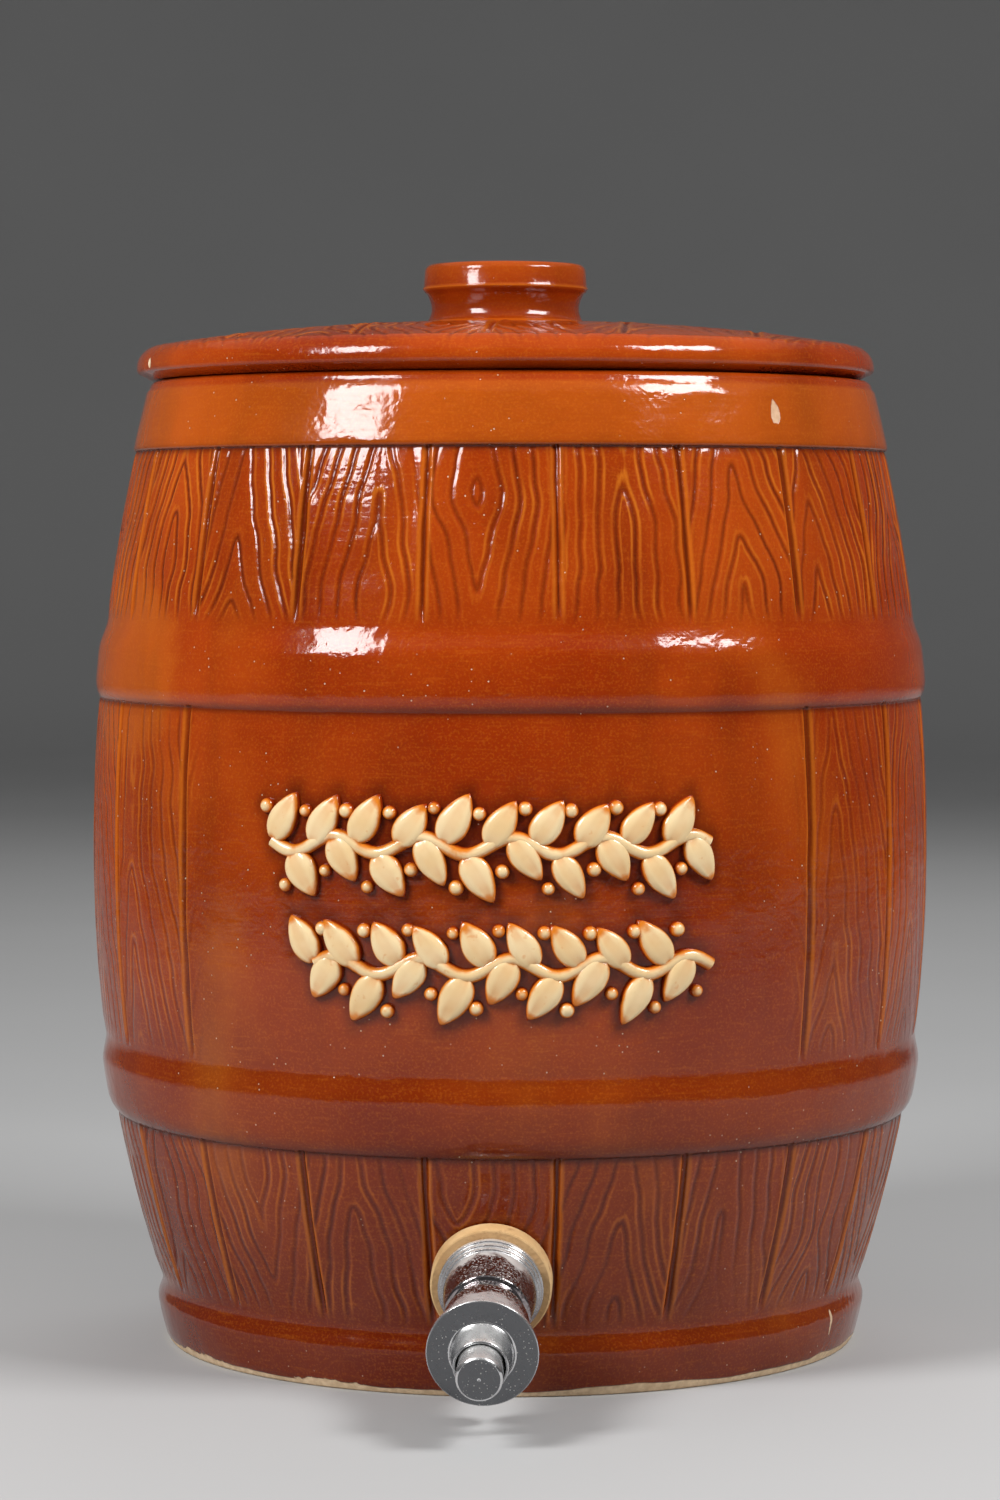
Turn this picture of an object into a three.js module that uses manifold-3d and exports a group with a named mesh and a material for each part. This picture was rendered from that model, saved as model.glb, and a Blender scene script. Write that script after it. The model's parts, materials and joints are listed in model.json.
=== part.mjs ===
// A stoneware drink crock moulded as a staved cask, with a loose lid and a chromed push-button tap.
// Millimetres, +Z up. The origin is the middle of the foot, on the table. The tap points along -Y.

import * as THREE from 'three';
import { mergeVertices } from 'three/addons/utils/BufferGeometryUtils.js';
import Module from 'manifold-3d';

const wasm = await Module();
wasm.setup();

// Clearances that every piece shares
const seatGap = 0.3; // left between two pieces that bear on each other
const overrun = 30; // how far a cutting shape runs past what it cuts

// Jar: outside curve and wall
const jarHeight = 288;
const bellyHeight = 148; // height of the widest ring
const bellyRadius = 126;
const rimRadius = 107.9; // the stave curve carried up to the rim
const heelRadius = 99.2; // the stave curve carried down to the table
const wall = 9.5;
const floorThickness = 11;
const coveRadius = 12;
const rimWidth = 10.8;
const rimDepth = 14;
const rimRound = 2.4;
const shoulderDepth = 32; // below the rim, where the wall has thinned to its usual thickness

// Jar: staves, hoops and bands in relief
const jointDepth = 0.9;
const jointWidth = 4;
const topBandWidth = 21;
const topBandProud = 0.7;
const upperHoopHeight = 205.5;
const upperHoopProud = 1.4;
const lowerHoopHeight = 81.2;
const lowerHoopProud = 1.9;
const hoopWidth = 24;
const baseBandWidth = 19.6;
const baseBandProud = 1.6;
const footProud = 4.8;
const footBevel = 1.2;

// Lid and knob
const lidOverhang = 2.2;
const lidPlay = 2; // between the lid's locating ring and the mouth
const lidRingWidth = 7;
const lidRingDepth = 9;
const lidEdgeLift = 1.7; // the edge's underside stands this far above the seat
const lidEdgeHeight = 8.4;
const lidLowerRound = 1.5;
const lidUpperRound = 6.4;
const lidCrown = 7.2;
const lidThickness = 8.5;
const knobRadius = 24.5;
const knobHeight = 18.5;
const knobWaist = 2.1; // how far the neck draws in
const knobBead = 0.4;
const knobRound = 2.2;
const knobDraft = 10; // degrees that the knob's side leans in at its top

// Tap: how it stands in the wall
const tapHeight = 35; // where its axis leaves the wall
const tapTilt = THREE.MathUtils.degToRad(12.5);
const tapHolePlay = 1; // between the shank and the hole in the wall
const outerWasherRadius = 17;
const outerWasherThickness = 7;
const innerWasherRadius = 14;
const innerWasherThickness = 4.5;
const shankWasherRadius = 13.2;
const shankWasherThickness = 1.6;
const lockNutFlats = 24;
const lockNutThickness = 8;

// Tap body
const shankRadius = 8.75;
const shankProud = 4; // shank left past the lock nut
const shankBoreRadius = 7;
const flangeRadius = 14.75;
const flangeLength = 5;
const flangeStep = 0.55;
const bellRadius = 13.1;
const bellEndRadius = 11;
const bellLength = 13;
const beadRadius = 11.5;
const beadLength = 2;
const neckRadius = 10.5;
const neckLength = 3;
const shoulderLength = 4;
const collarRadius = 12;
const collarLength = 11;
const chamberRadius = 8;
const seatThickness = 4; // wall with the valve seat, between shank bore and chamber
const seatInset = 2; // how far that wall reaches into the body from the flange's back
const seatBoreRadius = 4.25;
const spoutRadius = 6.4;
const spoutLipRadius = 5.9;
const spoutBoreRadius = 4.7;
const spoutStraight = 2.1; // left under the collar before the spout narrows
const spoutReach = 19.5; // from the tap's axis to the spout's mouth

// Bonnet with its finger plate
const gasketThickness = 0.8;
const bonnetCollarLength = 4.4;
const plateRadius = 15.2;
const plateThickness = 1.8;
const plateRound = 0.4;
const bossRadius = 8.45;
const bossLipRadius = 7.3;
const bossLength = 9;
const bossFillet = 1;
const springFloorInset = 2.1;
const springFloorThickness = 3;
const packingBoreRadius = 5.2;
const packingThickness = 2.6;
const packingNutThickness = 2.2;

// Button, stem, spring and valve
const buttonTravel = 6;
const buttonStop = 1.1; // left under the button's skirt when it is pressed in
const buttonRadius = 6.3;
const buttonPlay = 0.45;
const buttonProud = 8.3;
const buttonSkirt = 0.7;
const buttonTop = 2.6;
const buttonBevel = 0.5;
const buttonHubRadius = 3.9;
const buttonHubLength = 8.5;
const stemRadius = 2.5;
const stemProud = 1; // thread left past the valve nut
const springWire = 0.8;
const valveWasherRadius = 5.4;
const valveWasherThickness = 3;
const valveCupWall = 0.6;
const valveCupBase = 1.6;
const valveCupLip = 1.6;
const valveNutFlats = 8;
const valveNutThickness = 4;

// Counts, powers and shares
const staveCount = 18;
const plainStaveAngle = THREE.MathUtils.degToRad(45); // no joints between the hoops nearer the front
const rimPower = 2; // how the stave curve falls from the belly to the rim
const heelPower = 2.15;
const bandPower = 1.6;
const domePower = 2.4;
const lidOffsetShare = 0.8; // of the ring's play, used up towards -X
const cavitySides = 40;
const lidSides = 48;
const tapSides = 28;
const innerSides = 20;
const stemSides = 16;
const springTurns = 8;
const springSteps = 8; // to a turn
const springSides = 5;
const halvings = 40; // of the span in which the tap's axis meets the inside of the wall
const hoopShares = [[0.06, 0.55], [0.24, 0.94], [0.5, 1], [0.76, 0.85], [0.93, 0.4]]; // of width and relief
const bandShares = [0.25, 0.5, 0.75, 0.96];
const undersideShares = [0, 0.55, 0.93]; // of the locating ring's inner radius
const domeShares = [0.88, 0.72, 0.52]; // of the lid's radius
const neckShares = [[0, 0], [0.7, 0.1], [1, 0.28]]; // of the neck's draw, of the knob's height
const beadNeckShare = 0.6; // of the neck's draw, left under the bead
const beadHeightShare = 0.58; // of the knob's height
const bellShares = [0.4, 0.55]; // of the bell's taper, of its length
const beadRoundShare = 0.25; // of the bead's length, at each end
const shoulderShares = [0.7, 0.4]; // of the shoulder's rise, of its length
const bossShares = [0.3, 0.6]; // of the boss's taper, of its length

// Stations along the tap's axis, from the back of its flange outwards
const bellStart = flangeLength;
const beadStart = bellStart + bellLength;
const neckStart = beadStart + beadLength;
const shoulderStart = neckStart + neckLength;
const collarStart = shoulderStart + shoulderLength;
const bodyEnd = collarStart + collarLength;
const bonnetStart = bodyEnd + seatGap + gasketThickness + seatGap;
const plateStart = bonnetStart + bonnetCollarLength;
const bossStart = plateStart + plateThickness;
const bonnetEnd = bossStart + bossLength;
const springFloor = bonnetStart + springFloorInset;
const packingBoreEnd = springFloor - springFloorThickness;
const packingStart = packingBoreEnd - seatGap - packingThickness;
const packingNutStart = packingStart - seatGap - packingNutThickness;
const buttonFace = bonnetEnd + buttonProud;
const buttonUnderside = buttonFace - buttonTop;
const seatFace = seatInset - seatThickness;
const valveWasherStart = seatFace - seatGap - valveWasherThickness;
const valveCupStart = valveWasherStart - seatGap - valveCupBase;
const valveNutStart = valveCupStart - seatGap - valveNutThickness;

const mouthRadius = rimRadius + topBandProud - rimWidth;
const stemHoleRadius = stemRadius + seatGap;
const shankHoleRadius = shankRadius + seatGap;

/** Turns a profile of [radius, height] pairs about +Z, going up on its outside. */
function turned(profile, sides) {
  const points = profile.map(([radius, height]) => new THREE.Vector2(radius, height));
  return new THREE.LatheGeometry(points, sides).rotateX(Math.PI / 2);
}

/** A ring of rectangular section, from one height to another. */
function ring(innerRadius, outerRadius, low, high, sides) {
  const corner = [innerRadius, low];
  return turned([corner, [outerRadius, low], [outerRadius, high], [innerRadius, high], corner], sides);
}

/** A plain round bar along +Z. */
function bar(radius, low, high, sides) {
  return turned([[0, low], [radius, low], [radius, high], [0, high]], sides);
}

/** Points of an arc about a centre in the profile's plane, both ends included. */
function arc(centreRadius, centreHeight, radius, fromDegrees, toDegrees, steps) {
  return Array.from({ length: steps + 1 }, (_, i) => {
    const angle = THREE.MathUtils.degToRad(fromDegrees + ((toDegrees - fromDegrees) * i) / steps);
    return [centreRadius + radius * Math.cos(angle), centreHeight + radius * Math.sin(angle)];
  });
}

/** Makes a closed geometry into a solid that can be joined and cut. */
function solid(geometry) {
  geometry.deleteAttribute('normal');
  geometry.deleteAttribute('uv');
  const merged = mergeVertices(geometry);
  const triangles = [];
  for (let i = 0; i < merged.index.count; i += 3) {
    const corners = [merged.index.getX(i), merged.index.getX(i + 1), merged.index.getX(i + 2)];
    if (new Set(corners).size === 3) {
      triangles.push(...corners);
    }
  }
  const vertProperties = Float32Array.from(merged.attributes.position.array);
  const triVerts = Uint32Array.from(triangles);
  return new wasm.Manifold(new wasm.Mesh({ numProp: 3, vertProperties, triVerts }));
}

/** Makes a solid back into a geometry. */
function surface(manifold) {
  const mesh = manifold.getMesh();
  const geometry = new THREE.BufferGeometry();
  geometry.setAttribute('position', new THREE.BufferAttribute(mesh.vertProperties, 3));
  geometry.setIndex(new THREE.BufferAttribute(mesh.triVerts, 1));
  geometry.computeVertexNormals();
  return geometry;
}

/** Outside radius of the plain stave curve at a height. */
function staveRadius(height) {
  if (height > bellyHeight) {
    const rise = (height - bellyHeight) / (jarHeight - bellyHeight);
    return bellyRadius - (bellyRadius - rimRadius) * rise ** rimPower;
  }
  const fall = (bellyHeight - height) / bellyHeight;
  return bellyRadius - (bellyRadius - heelRadius) * fall ** heelPower;
}

/** Rows of a stave panel, both ends included; joints are cut all round or only at the sides. */
function panelRows(low, high, steps, joints) {
  return Array.from({ length: steps + 1 }, (_, i) => {
    const height = low + ((high - low) * i) / steps;
    return { radius: staveRadius(height), height, joints };
  });
}

/** Rows of a half-round hoop, between its two edges. */
function hoopRows(middle, proud) {
  const low = middle - hoopWidth / 2;
  return hoopShares.map(([heightShare, proudShare]) => {
    const height = low + hoopWidth * heightShare;
    return { radius: staveRadius(height) + proud * proudShare, height, joints: 'none' };
  });
}

/** Rows of the base band, which leans in towards the foot. */
function baseBandRows() {
  const footRadius = staveRadius(0) + footProud;
  const rise = staveRadius(baseBandWidth) + baseBandProud - footRadius;
  const foot = [[footRadius - footBevel, 0], [footRadius, footBevel]];
  const band = bandShares.map((share) => {
    return [footRadius + rise * (1 - (1 - share) ** bandPower), baseBandWidth * share];
  });
  return [...foot, ...band].map(([radius, height]) => ({ radius, height, joints: 'none' }));
}

/** Rows of the top band and the rounded rim. */
function rimRows() {
  const low = jarHeight - topBandWidth;
  const proudRows = [low + topBandProud, low + topBandWidth / 2].map((height) => {
    return [staveRadius(height) + topBandProud, height];
  });
  const round = arc(rimRadius + topBandProud - rimRound, jarHeight - rimRound, rimRound, 0, 90, 3);
  return [...proudRows, ...round].map(([radius, height]) => ({ radius, height, joints: 'none' }));
}

/** The jar's outside as a closed solid, grown outwards by a clearance. */
function caskGeometry(grow) {
  const halfHoop = hoopWidth / 2;
  const rows = [
    { radius: 0, height: 0, joints: 'none' },
    ...baseBandRows(),
    ...panelRows(baseBandWidth, lowerHoopHeight - halfHoop, 4, 'all'),
    ...hoopRows(lowerHoopHeight, lowerHoopProud),
    ...panelRows(lowerHoopHeight + halfHoop, upperHoopHeight - halfHoop, 5, 'sides'),
    ...hoopRows(upperHoopHeight, upperHoopProud),
    ...panelRows(upperHoopHeight + halfHoop, jarHeight - topBandWidth, 4, 'all'),
    ...rimRows(),
    { radius: 0, height: jarHeight, joints: 'none' },
  ];
  const pitch = (2 * Math.PI) / staveCount;
  const jointShare = jointWidth / 2 / (pitch * bellyRadius);
  const columnShares = [0, jointShare, 0.5, 1 - jointShare]; // of a stave, from one joint to the next
  const outline = rows.map((row) => new THREE.Vector2(row.radius, row.height));
  const geometry = new THREE.LatheGeometry(outline, staveCount * columnShares.length);
  const position = geometry.attributes.position;
  for (let i = 0; i < position.count; i += 1) {
    const row = rows[i % rows.length];
    const column = Math.floor(i / rows.length);
    const share = columnShares[column % columnShares.length];
    const angle = (Math.floor(column / columnShares.length) + share - 0.5) * pitch;
    const atSide = Math.abs(Math.sin(angle / 2)) > Math.sin(plainStaveAngle / 2);
    const jointed = share === 0 && (row.joints === 'all' || (row.joints === 'sides' && atSide));
    const radius = row.radius > 0 ? row.radius + grow - (jointed ? jointDepth : 0) : 0;
    position.setXYZ(i, radius * Math.sin(angle), row.height, radius * Math.cos(angle));
  }
  return geometry.rotateX(Math.PI / 2);
}

/** The jar's hollow as a closed solid, open through the mouth, drawn in by a clearance. */
function cavityGeometry(draw) {
  const coveTop = floorThickness + coveRadius;
  const shoulder = jarHeight - shoulderDepth;
  const cove = arc(staveRadius(coveTop) - wall - coveRadius, coveTop, coveRadius, -90, 0, 4);
  const sideSteps = 6;
  const side = Array.from({ length: sideSteps }, (_, i) => {
    const height = coveTop + ((shoulder - coveTop) * (i + 1)) / sideSteps;
    return [staveRadius(height) - wall, height];
  });
  const mouth = [[mouthRadius, jarHeight - rimDepth], [mouthRadius, jarHeight + overrun]];
  const outline = [...cove, ...side, ...mouth].map(([radius, height]) => [radius - draw, height]);
  return turned([[0, floorThickness], ...outline, [0, jarHeight + overrun]], cavitySides);
}

// The tap's own frame: its +Z runs outwards along the tap's axis, from the back of the flange
const tapPlace = new THREE.Matrix4().makeRotationX(Math.PI / 2 + tapTilt);
tapPlace.setPosition(
  0,
  -staveRadius(tapHeight) - outerWasherThickness * Math.cos(tapTilt),
  tapHeight - outerWasherThickness * Math.sin(tapTilt),
);
const tapPlaceBack = tapPlace.clone().invert();

/** How far behind the flange the tap's axis comes out of the inside of the wall. */
function innerWallDepth() {
  let near = outerWasherThickness;
  let far = outerWasherThickness + 2 * wall;
  for (let i = 0; i < halvings; i += 1) {
    const depth = (near + far) / 2;
    const place = new THREE.Vector3(0, 0, -depth).applyMatrix4(tapPlace);
    if (-place.y > staveRadius(place.z) - wall) {
      near = depth;
    } else {
      far = depth;
    }
  }
  return (near + far) / 2;
}

const innerWall = -innerWallDepth();
const innerWasherStart = innerWall - innerWasherThickness;
const shankWasherStart = innerWasherStart - seatGap - shankWasherThickness;
const lockNutStart = shankWasherStart - seatGap - lockNutThickness;
const shankEnd = lockNutStart - shankProud;

/** The stoneware jar, hollow, with the tap's hole low in the front. */
function barrel() {
  const hole = bar(shankRadius + tapHolePlay, shankEnd, overrun, innerSides).applyMatrix4(tapPlace);
  return surface(solid(caskGeometry(0)).subtract(solid(cavityGeometry(0))).subtract(solid(hole)));
}

/** Top of the lid's dome at a radius, above the table. */
function domeHeight(radius) {
  const edge = rimRadius + topBandProud + lidOverhang - lidUpperRound;
  const foot = jarHeight + seatGap + lidEdgeLift + lidEdgeHeight;
  return foot + lidCrown * (1 - (radius / edge) ** domePower);
}

/** The knob's outside, from the dome up to its top. */
function knobProfile() {
  const base = domeHeight(knobRadius);
  const top = base + knobHeight;
  const bead = base + knobHeight * beadHeightShare;
  const neck = neckShares.map(([drawShare, heightShare]) => {
    return [knobRadius - knobWaist * drawShare, base + knobHeight * heightShare];
  });
  return [
    ...neck,
    [knobRadius - knobWaist * beadNeckShare, bead - 2 * knobBead],
    [knobRadius + knobBead, bead],
    [knobRadius, bead + 2 * knobBead],
    ...arc(knobRadius - knobRound, top - knobRound, knobRound, knobDraft, 90, 3),
    [0, top],
  ];
}

/** The stoneware lid: locating ring, seat, rounded edge, dome and knob in one. */
function lid() {
  const seat = jarHeight + seatGap;
  const edgeRadius = rimRadius + topBandProud + lidOverhang;
  const edgeLow = seat + lidEdgeLift;
  const edgeTop = edgeLow + lidEdgeHeight;
  const seatEnd = rimRadius + topBandProud - rimRound;
  const ringOuter = mouthRadius - lidPlay;
  const ringInner = ringOuter - lidRingWidth;
  const underside = undersideShares.map((share) => {
    return [ringInner * share, domeHeight(ringInner * share) - lidThickness];
  });
  const dome = domeShares.map((share) => [edgeRadius * share, domeHeight(edgeRadius * share)]);
  const profile = [
    ...underside,
    [ringInner, seat],
    [ringInner, seat - lidRingDepth],
    [ringOuter, seat - lidRingDepth],
    [ringOuter, seat],
    [seatEnd, seat],
    ...arc(edgeRadius - lidLowerRound, edgeLow + lidLowerRound, lidLowerRound, -90, 0, 2),
    ...arc(edgeRadius - lidUpperRound, edgeTop - lidUpperRound, lidUpperRound, 0, 90, 4),
    ...dome,
    ...knobProfile(),
  ];
  return turned(profile, lidSides);
}

/** The fibre washer, its back shaped to the jar's outside. */
function outerWasher() {
  const reach = outerWasherThickness + wall / 2;
  const blank = ring(shankHoleRadius, outerWasherRadius, -reach, -seatGap, tapSides);
  const jar = caskGeometry(seatGap).applyMatrix4(tapPlaceBack);
  return surface(solid(blank).subtract(solid(jar)));
}

/** The rubber washer inside, its face shaped to the jar's hollow. */
function innerWasher() {
  const blank = ring(shankHoleRadius, innerWasherRadius, innerWasherStart, innerWall + wall / 2, tapSides);
  const hollow = cavityGeometry(seatGap).applyMatrix4(tapPlaceBack);
  return surface(solid(blank).intersect(solid(hollow)));
}

/** A hexagon nut with its corners turned off at both faces. */
function hexNut(flats, holeRadius, low, high) {
  const cornerRadius = flats / Math.sqrt(3);
  const bevel = (cornerRadius - flats / 2) * Math.tan(Math.PI / 6);
  const hexagon = new THREE.Shape();
  for (let i = 0; i < 6; i += 1) {
    const angle = (i * Math.PI) / 3;
    const place = [cornerRadius * Math.cos(angle), cornerRadius * Math.sin(angle)];
    if (i === 0) {
      hexagon.moveTo(...place);
    } else {
      hexagon.lineTo(...place);
    }
  }
  hexagon.closePath();
  const prism = new THREE.ExtrudeGeometry(hexagon, { depth: high - low, bevelEnabled: false });
  const corner = [holeRadius, low];
  const turnedBlank = turned([
    corner,
    [flats / 2, low],
    [cornerRadius, low + bevel],
    [cornerRadius, high - bevel],
    [flats / 2, high],
    [holeRadius, high],
    corner,
  ], innerSides);
  return surface(solid(prism.translate(0, 0, low)).intersect(solid(turnedBlank)));
}

/** The tap's body outside its flange: steps, bell, bead, neck, shoulder and collar. */
function bodyOutside() {
  const step = flangeLength / 3;
  const [bellTaperShare, bellLengthShare] = bellShares;
  const [shoulderRiseShare, shoulderLengthShare] = shoulderShares;
  const bellMiddle = bellRadius + (bellEndRadius - bellRadius) * bellTaperShare;
  const shoulderMiddle = neckRadius + (collarRadius - neckRadius) * shoulderRiseShare;
  return [
    [flangeRadius, 0],
    [flangeRadius, step],
    [flangeRadius - flangeStep, step],
    [flangeRadius - flangeStep, 2 * step],
    [flangeRadius - 2 * flangeStep, 2 * step],
    [flangeRadius - 2 * flangeStep, flangeLength],
    [bellRadius, bellStart],
    [bellMiddle, bellStart + bellLength * bellLengthShare],
    [bellEndRadius, beadStart],
    [beadRadius, beadStart + beadLength * beadRoundShare],
    [beadRadius, neckStart - beadLength * beadRoundShare],
    [neckRadius, neckStart],
    [neckRadius, shoulderStart],
    [shoulderMiddle, shoulderStart + shoulderLength * shoulderLengthShare],
    [collarRadius, collarStart],
    [collarRadius, bodyEnd],
  ];
}

/** The chromed tap body with its shank, valve seat, chamber and spout. */
function tapBody() {
  const outside = [[0, shankEnd], [shankRadius, shankEnd], [shankRadius, 0], ...bodyOutside(), [0, bodyEnd]];
  const spout = turned([
    [0, 0],
    [spoutRadius, 0],
    [spoutRadius, collarRadius + spoutStraight],
    [spoutLipRadius, spoutReach],
    [0, spoutReach],
  ], innerSides).rotateX(Math.PI / 2).translate(0, 0, collarStart);
  const outlet = bar(spoutBoreRadius, 0, spoutReach + overrun, innerSides).rotateX(Math.PI / 2);
  const cuts = [
    bar(shankBoreRadius, shankEnd - overrun, seatFace, innerSides),
    bar(seatBoreRadius, shankEnd, bodyEnd, stemSides),
    bar(chamberRadius, seatInset, bodyEnd + overrun, innerSides),
    outlet.translate(0, 0, collarStart),
  ];
  const blank = solid(turned(outside, tapSides)).add(solid(spout));
  return surface(cuts.reduce((body, cut) => body.subtract(solid(cut)), blank));
}

/** The chromed bonnet: threaded spigot, collar, finger plate and the boss round the button. */
function tapBonnet() {
  const spigotRadius = chamberRadius - seatGap;
  const bore = buttonRadius + buttonPlay;
  const plateEdge = plateStart + plateThickness / 2;
  const [bossTaperShare, bossLengthShare] = bossShares;
  const bossMiddle = bossLipRadius + (bossRadius - bossLipRadius) * bossTaperShare;
  const start = [packingBoreRadius, packingNutStart];
  return turned([
    start,
    [spigotRadius, packingNutStart],
    [spigotRadius, bonnetStart],
    [collarRadius, bonnetStart],
    [collarRadius, plateStart],
    [plateRadius - plateRound, plateStart],
    [plateRadius, plateEdge],
    [plateRadius - plateRound, bossStart],
    [bossRadius + bossFillet, bossStart],
    [bossRadius, bossStart + bossFillet],
    [bossMiddle, bossStart + bossLength * bossLengthShare],
    [bossLipRadius, bonnetEnd - plateRound],
    [(bossLipRadius + bore) / 2, bonnetEnd],
    [bore, bonnetEnd - plateRound],
    [bore, springFloor],
    [stemHoleRadius, springFloor],
    [stemHoleRadius, packingBoreEnd],
    [packingBoreRadius, packingBoreEnd],
    start,
  ], tapSides);
}

/** The chromed button, hollow from behind, with the hub that takes the stem. */
function pushButton() {
  const skirtEnd = springFloor + buttonTravel + buttonStop;
  const hubEnd = buttonUnderside - buttonHubLength;
  const inside = buttonRadius - buttonSkirt;
  return turned([
    [0, buttonUnderside],
    [stemHoleRadius, buttonUnderside],
    [stemHoleRadius, hubEnd],
    [buttonHubRadius, hubEnd],
    [buttonHubRadius, buttonUnderside],
    [inside, buttonUnderside],
    [inside, skirtEnd],
    [buttonRadius, skirtEnd],
    [buttonRadius, buttonFace - buttonBevel],
    [buttonRadius - buttonBevel, buttonFace],
    [0, buttonFace],
  ], tapSides);
}

/** The valve's cup, open towards the seat, which holds the rubber disc. */
function valveCup() {
  const floor = valveCupStart + valveCupBase;
  const inside = valveWasherRadius + seatGap;
  const corner = [stemHoleRadius, valveCupStart];
  return turned([
    corner,
    [inside + valveCupWall, valveCupStart],
    [inside + valveCupWall, floor + valveCupLip],
    [inside, floor + valveCupLip],
    [inside, floor],
    [stemHoleRadius, floor],
    corner,
  ], innerSides);
}

/** The coiled spring between the bonnet's floor and the button. */
function returnSpring() {
  const coilRadius = (buttonHubRadius + buttonRadius - buttonSkirt) / 2;
  const low = springFloor + seatGap + springWire / 2;
  const high = buttonUnderside - seatGap - springWire / 2;
  const count = springTurns * springSteps;
  const route = Array.from({ length: count + 1 }, (_, i) => {
    const angle = (2 * Math.PI * i) / springSteps;
    const height = low + ((high - low) * i) / count;
    return new THREE.Vector3(coilRadius * Math.cos(angle), coilRadius * Math.sin(angle), height);
  });
  const section = new THREE.Shape();
  for (let i = 0; i < springSides; i += 1) {
    const angle = (2 * Math.PI * i) / springSides;
    const place = [(springWire / 2) * Math.cos(angle), (springWire / 2) * Math.sin(angle)];
    if (i === 0) {
      section.moveTo(...place);
    } else {
      section.lineTo(...place);
    }
  }
  section.closePath();
  const extrudePath = new THREE.CatmullRomCurve3(route);
  return new THREE.ExtrudeGeometry(section, { steps: count, extrudePath });
}

const finishes = {
  glaze: { color: 0xa8481a, roughness: 0.22, metalness: 0 },
  fibre: { color: 0xc9a873, roughness: 0.85, metalness: 0 },
  chrome: { color: 0xd6d8da, roughness: 0.12, metalness: 1 },
  brass: { color: 0xb08a3e, roughness: 0.35, metalness: 1 },
  steel: { color: 0x9c9ea0, roughness: 0.4, metalness: 1 },
  rubber: { color: 0x26231f, roughness: 0.8, metalness: 0 },
};

/** A named piece with its own material. */
function piece(name, geometry, finish) {
  const mesh = new THREE.Mesh(geometry, new THREE.MeshStandardMaterial(finishes[finish]));
  mesh.name = name;
  return mesh;
}

const pot = new THREE.Group();
pot.add(piece('barrel', barrel(), 'glaze'));

const lidPiece = piece('lid', lid(), 'glaze');
lidPiece.position.x = -lidPlay * lidOffsetShare;
pot.add(lidPiece);

const tap = new THREE.Group();
tap.applyMatrix4(tapPlace);
pot.add(tap);

const sealRadius = packingBoreRadius - seatGap;
const valveWasherEnd = valveWasherStart + valveWasherThickness;
const stemStart = valveNutStart - stemProud;
const stemEnd = buttonUnderside - seatGap;
const shankWasherEnd = shankWasherStart + shankWasherThickness;
const lockNutEnd = lockNutStart + lockNutThickness;
const gasketStart = bodyEnd + seatGap;
tap.add(
  piece('outer_washer', outerWasher(), 'fibre'),
  piece('tap_body', tapBody(), 'chrome'),
  piece('bonnet_gasket', ring(chamberRadius, collarRadius - seatGap, gasketStart,
    gasketStart + gasketThickness, innerSides), 'fibre'),
  piece('tap_bonnet', tapBonnet(), 'chrome'),
  piece('push_button', pushButton(), 'chrome'),
  piece('valve_stem', bar(stemRadius, stemStart, stemEnd, stemSides), 'brass'),
  piece('return_spring', returnSpring(), 'steel'),
  piece('stem_packing', ring(stemHoleRadius, sealRadius, packingStart,
    packingStart + packingThickness, stemSides), 'rubber'),
  piece('packing_nut', ring(stemHoleRadius, sealRadius, packingNutStart,
    packingNutStart + packingNutThickness, stemSides), 'brass'),
  piece('valve_washer', ring(stemHoleRadius, valveWasherRadius, valveWasherStart, valveWasherEnd,
    innerSides), 'rubber'),
  piece('valve_cup', valveCup(), 'brass'),
  piece('valve_nut', hexNut(valveNutFlats, stemHoleRadius, valveNutStart,
    valveNutStart + valveNutThickness), 'brass'),
  piece('inner_washer', innerWasher(), 'rubber'),
  piece('shank_washer', ring(shankHoleRadius, shankWasherRadius, shankWasherStart, shankWasherEnd,
    innerSides), 'steel'),
  piece('lock_nut', hexNut(lockNutFlats, shankHoleRadius, lockNutStart, lockNutEnd), 'chrome'),
);

export default pot;
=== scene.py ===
import functools
import json
import math

import bpy
import numpy as np
from mathutils import Matrix, Vector
from mathutils.kdtree import KDTree


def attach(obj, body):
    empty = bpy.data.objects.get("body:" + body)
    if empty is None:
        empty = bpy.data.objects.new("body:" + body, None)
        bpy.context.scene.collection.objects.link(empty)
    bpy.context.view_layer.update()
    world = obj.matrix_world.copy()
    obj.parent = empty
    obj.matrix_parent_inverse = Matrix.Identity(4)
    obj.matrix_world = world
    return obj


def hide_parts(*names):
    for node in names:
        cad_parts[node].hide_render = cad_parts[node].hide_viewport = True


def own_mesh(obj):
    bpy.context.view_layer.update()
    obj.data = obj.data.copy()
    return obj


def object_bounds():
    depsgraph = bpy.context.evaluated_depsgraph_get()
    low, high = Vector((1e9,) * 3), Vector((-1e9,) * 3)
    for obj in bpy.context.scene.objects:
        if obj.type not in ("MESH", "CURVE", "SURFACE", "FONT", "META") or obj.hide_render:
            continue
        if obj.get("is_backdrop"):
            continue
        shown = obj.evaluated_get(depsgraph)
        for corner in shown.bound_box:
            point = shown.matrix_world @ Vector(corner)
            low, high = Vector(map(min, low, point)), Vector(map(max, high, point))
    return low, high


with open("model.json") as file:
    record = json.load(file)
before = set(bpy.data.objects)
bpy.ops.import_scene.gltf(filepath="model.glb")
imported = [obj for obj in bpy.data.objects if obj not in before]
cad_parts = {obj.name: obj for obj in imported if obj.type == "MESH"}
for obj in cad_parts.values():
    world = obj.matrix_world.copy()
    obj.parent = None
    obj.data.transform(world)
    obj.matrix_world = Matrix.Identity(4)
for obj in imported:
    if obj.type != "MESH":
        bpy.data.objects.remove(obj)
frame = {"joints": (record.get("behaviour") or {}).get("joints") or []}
cad_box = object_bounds()

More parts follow.
